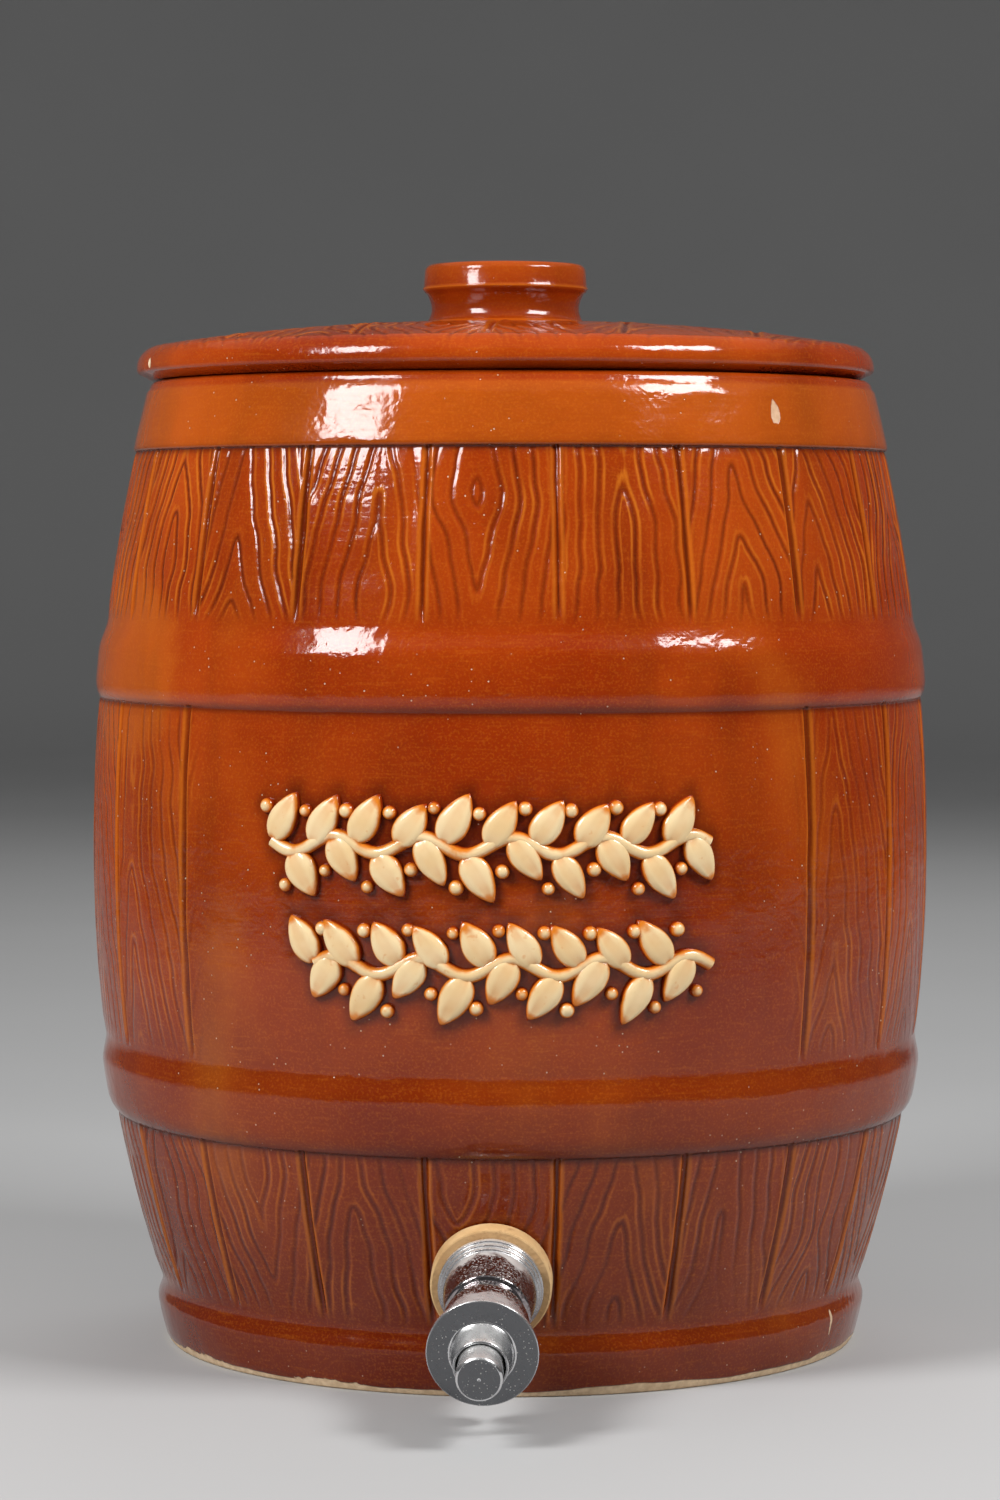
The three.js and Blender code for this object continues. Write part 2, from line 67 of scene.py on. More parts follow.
# The view: a long lens a little right of the tap, about three quarters of the way up the jar and
# tipped down slightly. Lens and place come from the ellipses of the lid, hoops and foot.
photo_height_px = 1500
focal_px = 4300
sensor_mm = 36
camera_distance = 1.302
camera_height = 0.243
camera_aside = 0.0032
camera_turn = math.radians(2.8)
camera_drop = math.radians(2.9)


def put(name, data):
    obj = bpy.data.objects.new(name, data)
    bpy.context.collection.objects.link(obj)
    return obj


camera_data = bpy.data.cameras.new("camera")
camera_data.sensor_width = sensor_mm
camera_data.lens = sensor_mm * focal_px / photo_height_px
camera = put("camera", camera_data)
sine, cosine = math.sin(camera_turn), math.cos(camera_turn)
camera.location = (
    camera_distance * sine - camera_aside * cosine,
    -camera_distance * cosine - camera_aside * sine,
    camera_height,
)
camera.rotation_euler = (math.pi / 2 - camera_drop, 0, camera_turn)
bpy.context.scene.camera = camera
bpy.context.scene.view_settings.view_transform = "Standard"


# The floor and the wall round it: one pale matt sheet, swept up in a curve on every side. It is
# stage, not part of the pot. Its paper is the first thing that needs a node tree.
def math_node(operation, swapped=False):
    """A method of a wire that adds a Math node to the wire's tree."""
    def method(wire, *others):
        values = (*others, wire) if swapped else (wire, *others)
        return wire.nodes.math(operation, *values)
    return method


class Wire:
    """An output in a node tree that can be reckoned with like a number."""
    __add__ = __radd__ = math_node("ADD")
    __mul__ = __rmul__ = math_node("MULTIPLY")
    __sub__ = math_node("SUBTRACT")
    __rsub__ = math_node("SUBTRACT", swapped=True)
    __truediv__ = math_node("DIVIDE")
    __abs__ = math_node("ABSOLUTE")
    at_least = math_node("MAXIMUM")
    power = math_node("POWER")
    root = math_node("SQRT")
    sine = math_node("SINE")
    cosine = math_node("COSINE")

    def __init__(self, nodes, socket):
        self.nodes = nodes
        self.socket = socket

    def ease(self, low, high, out_low=0.0, out_high=1.0):
        inputs = {0: self, 1: low, 2: high, 3: out_low, 4: out_high}
        return self.nodes.add("ShaderNodeMapRange", inputs, interpolation_type="SMOOTHSTEP")

    def split(self):
        node = self.nodes.node("ShaderNodeSeparateXYZ", {0: self})
        return [Wire(self.nodes, output) for output in node.outputs]


class Nodes:
    """Builds a node tree: each call adds a node, sets or links its inputs and gives its output."""

    def __init__(self, tree):
        self.tree = tree
        self.shades = tree.type == "SHADER"

    def node(self, kind, inputs=None, **settings):
        node = self.tree.nodes.new(kind)
        for key, value in settings.items():
            setattr(node, key, value)
        for key, value in (inputs or {}).items():
            if isinstance(value, Wire):
                self.tree.links.new(value.socket, node.inputs[key])
            else:
                node.inputs[key].default_value = value
        return node

    def add(self, kind, inputs=None, output=0, **settings):
        return Wire(self, self.node(kind, inputs, **settings).outputs[output])

    def math(self, operation, *values):
        return self.add("ShaderNodeMath", dict(enumerate(values)), operation=operation)

    def vector_math(self, operation, *values):
        output = "Value" if operation in ("DOT_PRODUCT", "LENGTH") else "Vector"
        inputs = dict(enumerate(values))
        return self.add("ShaderNodeVectorMath", inputs, output, operation=operation)

    def vector(self, *parts):
        return self.add("ShaderNodeCombineXYZ", dict(enumerate(parts)))

    def mix(self, factor, a, b):
        """A colour between two others, each a wire or its red, green and blue."""
        a, b = (colour if isinstance(colour, Wire) else (*colour, 1.0) for colour in (a, b))
        return self.add("ShaderNodeMix", {0: factor, 6: a, 7: b}, 2, data_type="RGBA")

    @functools.cached_property
    def place(self):
        """Where a point is, in the shared frame."""
        if self.shades:
            return self.add("ShaderNodeTexCoord", output="Object")
        return self.add("GeometryNodeInputPosition")

    def mark(self, name):
        """What a mesh says of its points under a name."""
        if self.shades:
            return self.add("ShaderNodeAttribute", output="Fac", attribute_name=name)
        return self.add("GeometryNodeInputNamedAttribute", {"Name": name}, data_type="FLOAT")

    def noise(self, scale, detail=2.0, stretch=None, place=None, output=0):
        place = place or self.place
        if stretch:
            place = self.vector_math("MULTIPLY", place, stretch)
        inputs = {"Vector": place, "Scale": scale, "Detail": detail}
        return self.add("ShaderNodeTexNoise", inputs, output)

    def surface(self, colour, roughness, height=0.0, **rest):
        """Ends a material with one Principled shader, bumped by a height in metres."""
        bump = self.add("ShaderNodeBump", {"Height": height, "Strength": 1.0, "Distance": 1.0})
        inputs = {"Base Color": colour, "Roughness": roughness, "Normal": bump, **rest}
        shader = self.add("ShaderNodeBsdfPrincipled", inputs)
        self.node("ShaderNodeOutputMaterial", {"Surface": shader})

    def join(self, *parts):
        node = self.node("GeometryNodeJoinGeometry")
        for part in parts:
            self.tree.links.new(part.socket, node.inputs[0])
        return Wire(self, node.outputs[0])

    def rod(self, curve, radius, sides):
        """A round rod along a curve, closed at both ends."""
        circle = {"Resolution": sides, "Radius": radius}
        profile = self.add("GeometryNodeCurvePrimitiveCircle", circle)
        inputs = {"Curve": curve, "Profile Curve": profile, "Fill Caps": True}
        return self.add("GeometryNodeCurveToMesh", inputs)

    def give(self, geometry, material):
        """Ends a geometry tree with real geometry in one material."""
        geometry = self.add("GeometryNodeRealizeInstances", {"Geometry": geometry})
        inputs = {"Geometry": geometry, "Material": material}
        self.node("NodeGroupOutput", {0: self.add("GeometryNodeSetMaterial", inputs)})
        return self.tree


def new_material(name):
    material = bpy.data.materials.new(name)
    material.use_nodes = True
    material.node_tree.nodes.clear()
    return material, Nodes(material.node_tree)


def smooth_mesh(name, points, faces):
    mesh = bpy.data.meshes.new(name)
    mesh.from_pydata(points, [], faces)
    mesh.shade_smooth()
    return mesh


def arc_points(centre, radius, first, last, steps):
    angles = np.radians(np.linspace(first, last, steps + 1))
    return [(centre[0] + radius * math.cos(a), centre[1] + radius * math.sin(a)) for a in angles]


def bands(columns, closed=False):
    """Faces between rings of points; a ring may halve or double the one before, or be a tip."""
    starts = np.cumsum([0, *columns]).tolist()
    faces = []
    for k in range(len(columns) if closed else len(columns) - 1):
        j = (k + 1) % len(columns)
        a, b, n, m = starts[k], starts[j], columns[k], columns[j]
        steps = max(n, m) if 1 in (n, m) else min(n, m)
        for i in range(steps):
            low = [a + (i * (n // steps) + step) % n for step in range(n // steps + 1)]
            high = [b + (i * (m // steps) + step) % m for step in range(m // steps + 1)]
            faces.append((*low, *reversed(high)))
    return faces


def revolve(name, line, sides, bend=None):
    """A mesh turned from radii and heights; it faces outwards where they go up."""
    closed = line[0] == line[-1]
    line = line[:-1] if closed else line
    columns = [1 if r == 0 else sides for r, z in line]
    turns = [2 * math.pi * i / sides for i in range(sides)]
    points = [(r * math.cos(a), r * math.sin(a), z)
              for (r, z), count in zip(line, columns) for a in turns[:count]]
    if bend:
        points = [bend(*point) for point in points]
    return smooth_mesh(name, points, bands(columns, closed))


floor_reach = 3.4
sweep_radius = 1.2
sweep_height = 3.4
sweep_line = [
    (floor_reach + sweep_radius, sweep_height),
    *arc_points((floor_reach, sweep_radius), sweep_radius, 0, -90, 14),
    *[(floor_reach * share, 0.0) for share in (0.75, 0.5, 0.25, 0.0)],
]
sweep = put("sweep", revolve("sweep", sweep_line, 96))
paper, nodes = new_material("pale_paper")
nodes.surface(nodes.mix(nodes.noise(3.0), (0.41, 0.41, 0.41), (0.45, 0.45, 0.45)), 0.9)
sweep.data.materials.append(paper)
sweep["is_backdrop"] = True

# The lamps: two softboxes above and to each side, which give the paired highlights on lid and
# hoops, a wide weak one behind for the far side, and a plain dim grey world.
lamps = {  # degrees to the side and up, distance, size, watts
    "softbox_left": (-46, 34, 1.2, (0.36, 0.46), 13.5),
    "softbox_right": (60, 40, 1.2, (0.50, 0.30), 12.5),
    "back_fill": (168, 42, 1.9, (1.3, 1.0), 11.0),
}
lamp_target = Vector((0, 0, 0.19))
for name, (aside, above, distance, sides, watts) in lamps.items():
    data = bpy.data.lights.new(name, "AREA")
    data.shape = "RECTANGLE"
    data.size, data.size_y = sides
    data.energy = watts
    turn, rise = math.radians(aside), math.radians(above)
    level = math.cos(rise)
    aim = Vector((math.sin(turn) * level, -math.cos(turn) * level, math.sin(rise)))
    light = put(name, data)
    light.location = lamp_target + aim * distance
    light.rotation_euler = aim.to_track_quat("Z", "Y").to_euler()
    light.visible_glossy = name != "back_fill"
world = bpy.data.worlds.new("plain_grey")
world.use_nodes = True
background = world.node_tree.nodes["Background"].inputs
background["Color"].default_value = (1, 1, 1, 1)
background["Strength"].default_value = 0.24
bpy.context.scene.world = world

# The jar: a stoneware cask, slip-cast in a two-part mould and glazed all over but for its foot.
# Its staves, hoops and wood grain are in the clay; the glaze is thick in cuts and thin on edges.
jar_height = 0.288
belly_height = 0.148
belly_radius = 0.126
rim_radius = 0.1079
heel_radius = 0.0992
rim_power = 2.0
heel_power = 2.15
wall = 0.0095
floor_thickness = 0.011
cove_radius = 0.012
rim_width = 0.0108
rim_depth = 0.014
rim_round = 0.0024
mouth_round = 0.0018
shoulder_depth = 0.032
hoop_width = 0.024
hoops = ((0.0812, 0.0019), (0.2055, 0.0014))  # middle height, how proud
hoop_shares = (0.03, 0.08, 0.14, 0.21, 0.3, 0.42, 0.54, 0.64, 0.7, 0.76, 0.82, 0.88, 0.94, 0.985)
hoop_rise = 0.28  # the share of its width over which a hoop rises, from below
hoop_fall = 0.4
top_band_width = 0.021
top_band_proud = 0.0007
top_band_rise = 0.0008
base_band_width = 0.0196
base_band_proud = 0.0016
base_band_roll = 0.0075
foot_proud = 0.0048
foot_bevel = 0.0012
band_power = 1.6
stave_count = 20
stave_pitch = 2 * math.pi / stave_count
plain_angle = math.radians(41.5)  # the staves start this far from the front, between the hoops
plain_blend = math.radians(4)
edge_dip = 0.0002  # the moulded line along each edge of a band
edge_width = 0.0014
panel_sink = 0.00034  # the staves lie this much inside the hoops' own curve
panel_step = 0.003
panel_fade = 0.005  # the wood dies away over this much above each band
front_step = 0.0044
front_calm = 0.4  # how much weaker the grain is between the hoops
jar_columns = stave_count * 44
fine, coarse = jar_columns // 2, jar_columns // 4


def smooth(t):
    return t * t * (3 - 2 * t)


def stave_radius(height):
    up = np.clip((height - belly_height) / (jar_height - belly_height), 0, None)
    down = np.clip((belly_height - height) / belly_height, 0, None)
    return (belly_radius - (belly_radius - rim_radius) * up ** rim_power
            - (belly_radius - heel_radius) * down ** heel_power)


def band_radius(height):
    """Outside of the base band, which leans in towards the foot and rolls over at its top."""
    foot = float(stave_radius(0)) + foot_proud
    top = float(stave_radius(base_band_width)) + base_band_proud
    band = foot + (top - foot) * (1 - max(1 - height / base_band_width, 0) ** band_power)
    roll = min(max((height - base_band_width + base_band_roll) / base_band_roll, 0), 1)
    return band + (float(stave_radius(height)) - panel_sink - band) * smooth(roll)


def hoop_shape(share):
    rise = 1 - (1 - np.clip(share / hoop_rise, 0, 1)) ** 2.4
    return rise * (1 - smooth(np.clip((share - 1 + hoop_fall) / hoop_fall, 0, 1)))


def edge_line(height):
    """How much of a moulded line, and of the painted shade along it, there is at a height, under
    each band.
    """
    lines = [jar_height - top_band_width, *[z - hoop_width / 2 for z, _ in hoops]]
    return sum(math.exp(-(((height - line) / edge_width) ** 2)) for line in lines)


def ring(radius, height, columns, **marks):
    """One ring of a turned piece, with what is moulded there."""
    base = dict.fromkeys(("grain", "joint", "pool", "thin", "row", "front"), 0.0)
    place = {"radius": float(radius), "height": float(height), "columns": columns}
    return {**place, **base, **marks}


def arc_rings(centre, radius, first, last, steps, columns, **marks):
    return [ring(r, z, columns, **marks) for r, z in arc_points(centre, radius, first, last, steps)]


def panel_rings(low, high, step, row, front):
    count = round((high - low) / step) + 1
    near = [high - 1.2 * edge_width, high - 0.5 * edge_width]
    rings = []
    for z in sorted([*np.linspace(low, high, count), *near]):
        line = edge_line(z)
        fade = min(1.0, (z - low) / panel_fade)
        grain = fade * (1 - front_calm * front)
        rings.append(ring(stave_radius(z) - panel_sink - edge_dip * line, z, jar_columns,
                          grain=grain, joint=fade, pool=line, row=row, front=front))
    return rings


def hoop_rings(middle, proud):
    rings = []
    for share in hoop_shares:
        z = middle + hoop_width * (share - 0.5)
        line = edge_line(z) * (1 - hoop_shape(share))
        raised = (proud + panel_sink) * hoop_shape(share) - panel_sink
        radius = stave_radius(z) + raised - edge_dip * line
        rings.append(ring(radius, z, fine, pool=line, row=50.0))
    return rings


def jar_rings():
    half = hoop_width / 2
    foot = band_radius(0)
    fan = ((0, 1), (0.3, coarse // 4), (0.6, coarse // 2), (0.85, coarse), (0.97, fine))
    rings = [ring(foot * share, 0, count) for share, count in fan]
    rings += arc_rings((foot - foot_bevel, foot_bevel), foot_bevel, -90, 0, 3, fine)
    band = np.linspace(0.002, base_band_width - base_band_roll, 7)
    roll = base_band_width - base_band_roll * np.linspace(0.86, 0.14, 6)
    rings += [ring(band_radius(z), z, fine) for z in (*band, *roll)]
    (lower, lower_proud), (upper, upper_proud) = hoops
    low = jar_height - top_band_width
    rings += panel_rings(base_band_width, lower - half, panel_step, 11.0, 0.0)
    rings += hoop_rings(lower, lower_proud)
    rings += panel_rings(lower + half, upper - half, front_step, 23.0, 1.0)
    rings += hoop_rings(upper, upper_proud)
    rings += panel_rings(upper + half, low, panel_step, 37.0, 0.0)
    top_band = np.linspace(low + 0.004, jar_height - rim_round - 0.001, 5)
    for z in (low + 0.0003, low + top_band_rise, low + 2 * top_band_rise, *top_band):
        proud = top_band_proud * min(1.0, (z - low) / top_band_rise) ** 0.5
        line = edge_line(z) * 0.5
        radius = stave_radius(z) + proud - edge_dip * line
        rings.append(ring(radius, z, fine, pool=line, thin=0.2))
    outer = rim_radius + top_band_proud
    mouth = outer - rim_width
    rings += arc_rings((outer - rim_round, jar_height - rim_round), rim_round, 0, 90, 5, fine)
    lip = (mouth + mouth_round, jar_height - mouth_round)
    rings += arc_rings(lip, mouth_round, 90, 180, 4, fine)
    rings.append(ring(mouth, jar_height - rim_depth, fine))
    for z in np.linspace(jar_height - shoulder_depth, cove_top + 0.004, 26):
        rings.append(ring(stave_radius(z) - wall, z, coarse))
    rings += arc_rings((cove_centre, cove_top), cove_radius, 0, -90, 8, coarse)
    fan = ((0.7, coarse // 2), (0.35, coarse // 4), (0, 1))
    return rings + [ring(cove_centre * share, floor_thickness, count) for share, count in fan]


def loft(name, rings):
    """A turned piece through rings, with what is moulded there marked on its points."""
    columns = [item["columns"] for item in rings]
    turns = np.concatenate([np.arange(n) * (2 * math.pi / n) - stave_pitch / 2 for n in columns])
    keys = [key for key in rings[0] if key != "columns"]
    marks = {key: np.repeat([item[key] for item in rings], columns) for key in keys}
    radius, height = marks.pop("radius"), marks.pop("height")
    places = np.column_stack([radius * np.sin(turns), -radius * np.cos(turns), height])
    mesh = smooth_mesh(name, places.tolist(), bands(columns))
    wrapped = np.abs((turns + math.pi) % (2 * math.pi) - math.pi)
    side = np.clip((wrapped - plain_angle) / plain_blend, 0, 1)
    shown = 1 - marks.pop("front") * (1 - side)
    marks["grain"] *= shown
    marks["joint"] *= shown > 0.5
    for key, data in marks.items():
        values = mesh.attributes.new(key, "FLOAT", "POINT").data
        values.foreach_set("value", data.astype(np.float32))
    return put(name, mesh)


def jar_staves(nodes):
    """Where a point lies: across and along its stave, the stave's number, the gap to its joint."""
    x, y, z = nodes.place.split()
    turn = nodes.math("ARCTAN2", x, y * -1.0)
    radius = (x * x + y * y).root()
    stave = nodes.math("FLOOR", turn * (1 / stave_pitch) + 0.5)
    off = turn - stave * stave_pitch
    gap = stave_pitch / 2 - abs(off)
    number = nodes.math("WRAP", stave, float(stave_count), 0.0) + nodes.mark("row")
    return off * radius, z, number, gap * radius


wood_sizes = {
    "Line spacing": 0.0056, "Line width": 0.0014, "Line depth": 0.00026, "Line lip": 0.0001,
    "Joint width": 0.0015, "Joint depth": 0.0009, "Joint lip": 0.0003, "Slant": 0.19,
    "Sway": 0.016, "Wiggle": 0.0052,
}


def wood_pattern(nodes, sizes, staves):
    """Moulded wood: the amounts of grain cut, its lips, joint cut and joint lips, from 0 to 1."""
    across, along, plank, gap = staves(nodes)

    def chance(salt):
        return nodes.add("ShaderNodeTexWhiteNoise", {"Vector": nodes.vector(plank, salt, 0.0)})

    def wave(across, along, fine_across, fine_along, salt):
        place = nodes.vector(across * fine_across, plank * salt, along * fine_along)
        return nodes.noise(1.0, 1.0, place=place) - 0.5

    heart = chance(1.0) * 0.02 - 0.01
    level = chance(2.0) * 0.29
    slant = sizes["Slant"] * (chance(4.0) * 0.9 + 0.55)
    upward = nodes.math("GREATER_THAN", chance(3.0), 0.25) * 2.0 - 1.0

    def reach_at(across, along):
        side = across - heart
        reach = (along - level) * slant * upward + (side * side + 0.0000012).root()
        reach = reach + wave(across, along, 15.0, 21.0, 7.31) * sizes["Sway"]
        return reach + wave(across, along, 30.0, 62.0, 3.17) * sizes["Wiggle"]

    # Divided by its own slope, the pattern gives lines of even width.
    step = 0.0003
    least_slope = 0.45
    reach = reach_at(across, along)
    slope = reach_at(across + step, along) - reach
    rise = reach_at(across, along + step) - reach
    slope = ((slope * slope + rise * rise).root() / step).at_least(least_slope)
    phase = nodes.math("FRACT", reach / sizes["Line spacing"])
    off = abs(phase - 0.5) * sizes["Line spacing"] / slope
    width, joint_width = sizes["Line width"], sizes["Joint width"]
    fade = wave(across, along, 30.0, 14.0, 2.7).ease(-0.26, -0.1) * nodes.mark("grain")
    fade = fade * gap.ease(joint_width, joint_width * 1.9)

    def groove(distance, size, amount, spread):
        cut = distance.ease(0.0, size, 1.0, 0.0)
        lip = abs(distance + size * -1.25).ease(0.0, size * spread, 1.0, 0.0)
        return cut * amount, lip * amount

    gap = abs(gap + wave(across, along, 0.0, 55.0, 1.9) * 0.0012)
    return *groove(off, width, fade, 0.7), *groove(gap, joint_width, nodes.mark("joint"), 1.0)


def pattern_height(sizes, pattern):
    """How far the moulded wood stands out, in metres."""
    cut, lip, joint_cut, joint_lip = pattern
    height = lip * sizes["Line lip"] - cut * sizes["Line depth"]
    return height - joint_cut * sizes["Joint depth"] + joint_lip * sizes["Joint lip"]


def new_tree(name, sockets):
    """A geometry tree and its inputs: each socket is given its kind, or as a number its value."""
    tree = bpy.data.node_groups.new(name, "GeometryNodeTree")
    for key, value in sockets.items():
        kind = value if isinstance(value, str) else "Float"
        socket = tree.interface.new_socket(key, in_out="INPUT", socket_type="NodeSocket" + kind)
        if kind == "Float":
            socket.default_value = value
    tree.interface.new_socket("Geometry", in_out="OUTPUT", socket_type="NodeSocketGeometry")
    nodes = Nodes(tree)
    given = tree.nodes.new("NodeGroupInput").outputs
    return nodes, {key: Wire(nodes, given[key]) for key in sockets}


def wood_tree(name, staves):
    """Geometry nodes that press the moulded wood into a piece."""
    sockets = {"Geometry": "Geometry", **wood_sizes, "Material": "Material"}
    nodes, given = new_tree(name, sockets)
    height = pattern_height(given, wood_pattern(nodes, given, staves))
    normal = nodes.add("GeometryNodeInputNormal")
    offset = nodes.add("ShaderNodeVectorMath", {0: normal, "Scale": height}, operation="SCALE")
    inputs = {"Geometry": given["Geometry"], "Offset": offset}
    return nodes.give(nodes.add("GeometryNodeSetPosition", inputs), given["Material"])


def add_tree(obj, tree, settings):
    """Puts a node tree on a piece with its named inputs set."""
    modifier = obj.modifiers.new(tree.name, "NODES")
    modifier.node_group = tree
    for item in tree.interface.items_tree:
        if item.item_type == "SOCKET" and item.in_out == "INPUT" and item.name in settings:
            modifier[item.identifier] = settings[item.name]


def bake(obj, smooth_degrees=None):
    """Turns a piece with modifiers into a plain mesh and drops the modifiers."""
    evaluated = obj.evaluated_get(bpy.context.evaluated_depsgraph_get())
    mesh = bpy.data.meshes.new_from_object(evaluated)
    obj.modifiers.clear()
    old = obj.data
    obj.data = mesh
    bpy.data.meshes.remove(old)
    mesh.name = obj.name
    if smooth_degrees:
        mesh.shade_smooth()
        mesh.set_sharp_from_angle(angle=math.radians(smooth_degrees))


deep_glaze_and_shade = (0.070, 0.0060, 0.0006)
brown_glaze = (0.27, 0.0235, 0.0008)
warm_glaze = (0.42, 0.0560, 0.0034)
thin_glaze = (0.66, 0.1900, 0.0130)
bare_clay = (0.86, 0.6500, 0.4300)
clay_grit = (0.68, 0.4800, 0.2900)
glaze_sizes = {**wood_sizes, "Line width": 0.0010, "Line depth": 0.00012, "Line lip": 0.00004,
               "Joint width": 0.0011, "Joint depth": 0.0003, "Joint lip": 0.0001}
glaze_depth = 0.0002  # how deep pinholes and chips are


def glaze_material(name, staves, chips, thin_spots=(), foot_line=None):
    """Caramel glaze: dark in cuts, amber on lips, mottled, with pinholes and a few chips."""
    material, nodes = new_material(name)
    noise, mix = nodes.noise, nodes.mix
    pattern = wood_pattern(nodes, glaze_sizes, staves)
    cut, lip, joint_cut, joint_lip = pattern
    level = nodes.place.split()[2]
    wobble = noise(260.0, 4.0) - 0.5

    def spot(centre, spread, wander, inside):
        off = nodes.vector_math("SUBTRACT", nodes.place, centre)
        away = nodes.vector_math("LENGTH", nodes.vector_math("DIVIDE", off, spread))
        return (wobble * wander + away).ease(inside, 1.0, 1.0, 0.0)

    # The brown, mottled, with darker runs, and darker low down: that darkening is a painted shade,
    # as of light falling off towards the floor
    colour = mix(noise(14.0, 4.0).ease(0.32, 0.68), brown_glaze, warm_glaze)
    runs = noise(42.0, 3.0, (1, 1, 0.2)).ease(0.45, 0.75)
    colour = mix(runs * 0.28, colour, deep_glaze_and_shade)
    # Painted shade: the glaze is darkened towards the bottom
    colour = mix(level.ease(0.02, 0.22, 0.66, 0.0), colour, deep_glaze_and_shade)
    # Thin glaze, in clouds, brush marks and specks and on lips and edges
    amber = noise(19.0, 5.0, (1, 1, 0.6)).ease(0.56, 0.78)
    brushed = noise(95.0, 3.0, (1, 1, 13)).ease(0.55, 0.75)
    speckle = noise(1500.0, 1.0).ease(0.45, 0.8)
    patchy = noise(62.0, 2.0, (1, 1, 0.4)).ease(0.42, 0.66, 0.06, 0.6)
    patchy = patchy * level.ease(0.07, 0.12, 0.5, 1.0)
    lips = (lip * patchy).at_least(joint_lip * 0.38).at_least(nodes.mark("thin"))
    for centre, spread, share in thin_spots:
        lips = lips.at_least(spot(centre, spread, 0.2, 0.75) * share)
    for amount, share in ((amber, 0.2), (brushed, 0.09), (speckle, 0.16), (lips, 1.0)):
        colour = mix(amount * share, colour, thin_glaze)
    # Thick glaze in the cuts, pooled glaze with painted shade under the bands, round the leaves and
    # in the knob's waist, and pinholes
    faint = noise(48.0, 2.0, (1, 1, 0.5)).ease(0.38, 0.62, 0.46, 0.76)
    pools_and_shade = (cut * faint).at_least(joint_cut * 0.66).at_least(nodes.mark("pool") * 0.78)
    colour = mix(pools_and_shade, colour, deep_glaze_and_shade)
    cells = nodes.add("ShaderNodeTexVoronoi", {"Vector": nodes.place, "Scale": 300.0})
    pit = cells.ease(0.04, 0.095, 1.0, 0.0) * noise(33.0).ease(0.48, 0.6)
    colour = mix(pit * 0.7, colour, bare_clay)
    # The skin: slumped, faintly ringed, and rippled in patches
    slump = noise(38.0, 2.0, (1, 1, 1.6))
    skin = noise(700.0, 1.0) * 0.22 + noise(150.0)
    throw = noise(60.0, 3.0, (1, 1, 12))
    warp = nodes.vector_math("MULTIPLY", noise(90.0, 1.0, output="Color"), (0.012,) * 3)
    ripple = noise(330.0, 1.5, place=nodes.vector_math("ADD", nodes.place, warp))
    rippled = noise(30.0).ease(0.38, 0.6, 0.00004, 0.00016)
    height = throw * 0.00004 + skin * 0.00009 + slump * 0.0006 + ripple * rippled
    height = height + pattern_height(glaze_sizes, pattern)
    # Chips, and the bare foot
    bare = [spot(centre, spread, 1.6, 0.8) * share for centre, spread, share in chips]
    if foot_line is not None:
        edge = (noise(26.0, 4.0) - 0.5) * 0.0055 + foot_line
        bare.append((level - edge).ease(-0.0002, 0.0002, 1.0, 0.0))
    bare = functools.reduce(Wire.at_least, bare)
    grit = mix(noise(500.0, 3.0).ease(0.3, 0.7), bare_clay, clay_grit)
    roughness = bare * 0.65 + noise(60.0, 3.0).ease(0.3, 0.8, 0.08, 0.17)
    height = height - pit * glaze_depth - bare * glaze_depth
    nodes.surface(mix(bare, colour, grit), roughness, height, IOR=1.43)
    return material


cove_top = floor_thickness + cove_radius
cove_centre = float(stave_radius(cove_top)) - wall - cove_radius
jar = loft("jar", jar_rings())
jar_chips = [
    ((0.0786, -0.0791, 0.2762), (0.0018, 0.0018, 0.0046), 0.65),
    ((0.0961, -0.0465, 0.0105), (0.0007, 0.0007, 0.0065), 0.8),
    ((-0.0905, -0.0560, 0.0012), (0.0170, 0.0170, 0.0017), 1.0),
    ((-0.0480, -0.0930, 0.0014), (0.0120, 0.0120, 0.0014), 1.0),
]
jar_thin_spots = [((-0.1120, -0.0540, 0.2040), (0.0415, 0.0415, 0.0300), 0.2)]
jar_glaze = glaze_material("jar_glaze", jar_staves, jar_chips, jar_thin_spots, foot_line=0.0021)
add_tree(jar, wood_tree("moulded_staves", jar_staves), {"Material": jar_glaze})
bake(jar)

# The tap hole: cut through the wall low in the front while the clay was soft, a loose fit for the
# shank. The tap's own frame runs out along its axis from the back of its flange.
press = next(joint for joint in frame["joints"] if joint["name"] == "button_press")
tap_tilt = math.atan2(press["axis"][2], press["axis"][1])
tap_height = 0.035
washer_thickness = 0.007
tap_origin = Vector((
    0,
    -float(stave_radius(tap_height)) - washer_thickness * math.cos(tap_tilt),
    tap_height - washer_thickness * math.sin(tap_tilt),
))
tap_place = Matrix.Translation(tap_origin) @ Matrix.Rotation(math.pi / 2 + tap_tilt, 4, "X")
tap_axis = tap_place.to_3x3() @ Vector((0, 0, 1))
shank_radius = 0.00875
hole_play = 0.001
seat_gap = 0.0003


def turned(name, profile, sides, place=tap_place, smooth_degrees=40, bend=None):
    """A piece turned from radii and heights in millimetres, going up on its outside."""
    line = [(r / 1000, z / 1000) for r, z in profile]
    mesh = revolve(name, line, sides, bend)
    mesh.transform(place)
    mesh.set_sharp_from_angle(angle=math.radians(smooth_degrees))
    return put(name, mesh)


def bar(radius, low, high, place=tap_place, sides=64):
    return turned("bar", [(0, low), (radius, low), (radius, high), (0, high)], sides, place)


def combine(obj, steps, smooth_degrees=None):
    """Joins other shapes to a piece or cuts them out of it, in turn, and removes them."""
    for operation, other in steps:
        modifier = obj.modifiers.new(operation, "BOOLEAN")
        modifier.operation, modifier.object, modifier.solver = operation, other, "EXACT"
    bake(obj, smooth_degrees)
    for _, other in steps:
        mesh = other.data
        bpy.data.objects.remove(other)
        bpy.data.meshes.remove(mesh)


def fit(obj, body, node, material=None):
    if material:
        obj.data.materials.clear()
        obj.data.materials.append(material)
    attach(obj, body)
    if node:
        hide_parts(node)


combine(jar, [("DIFFERENCE", bar(1000 * (shank_radius + hole_play), -45, 20))])

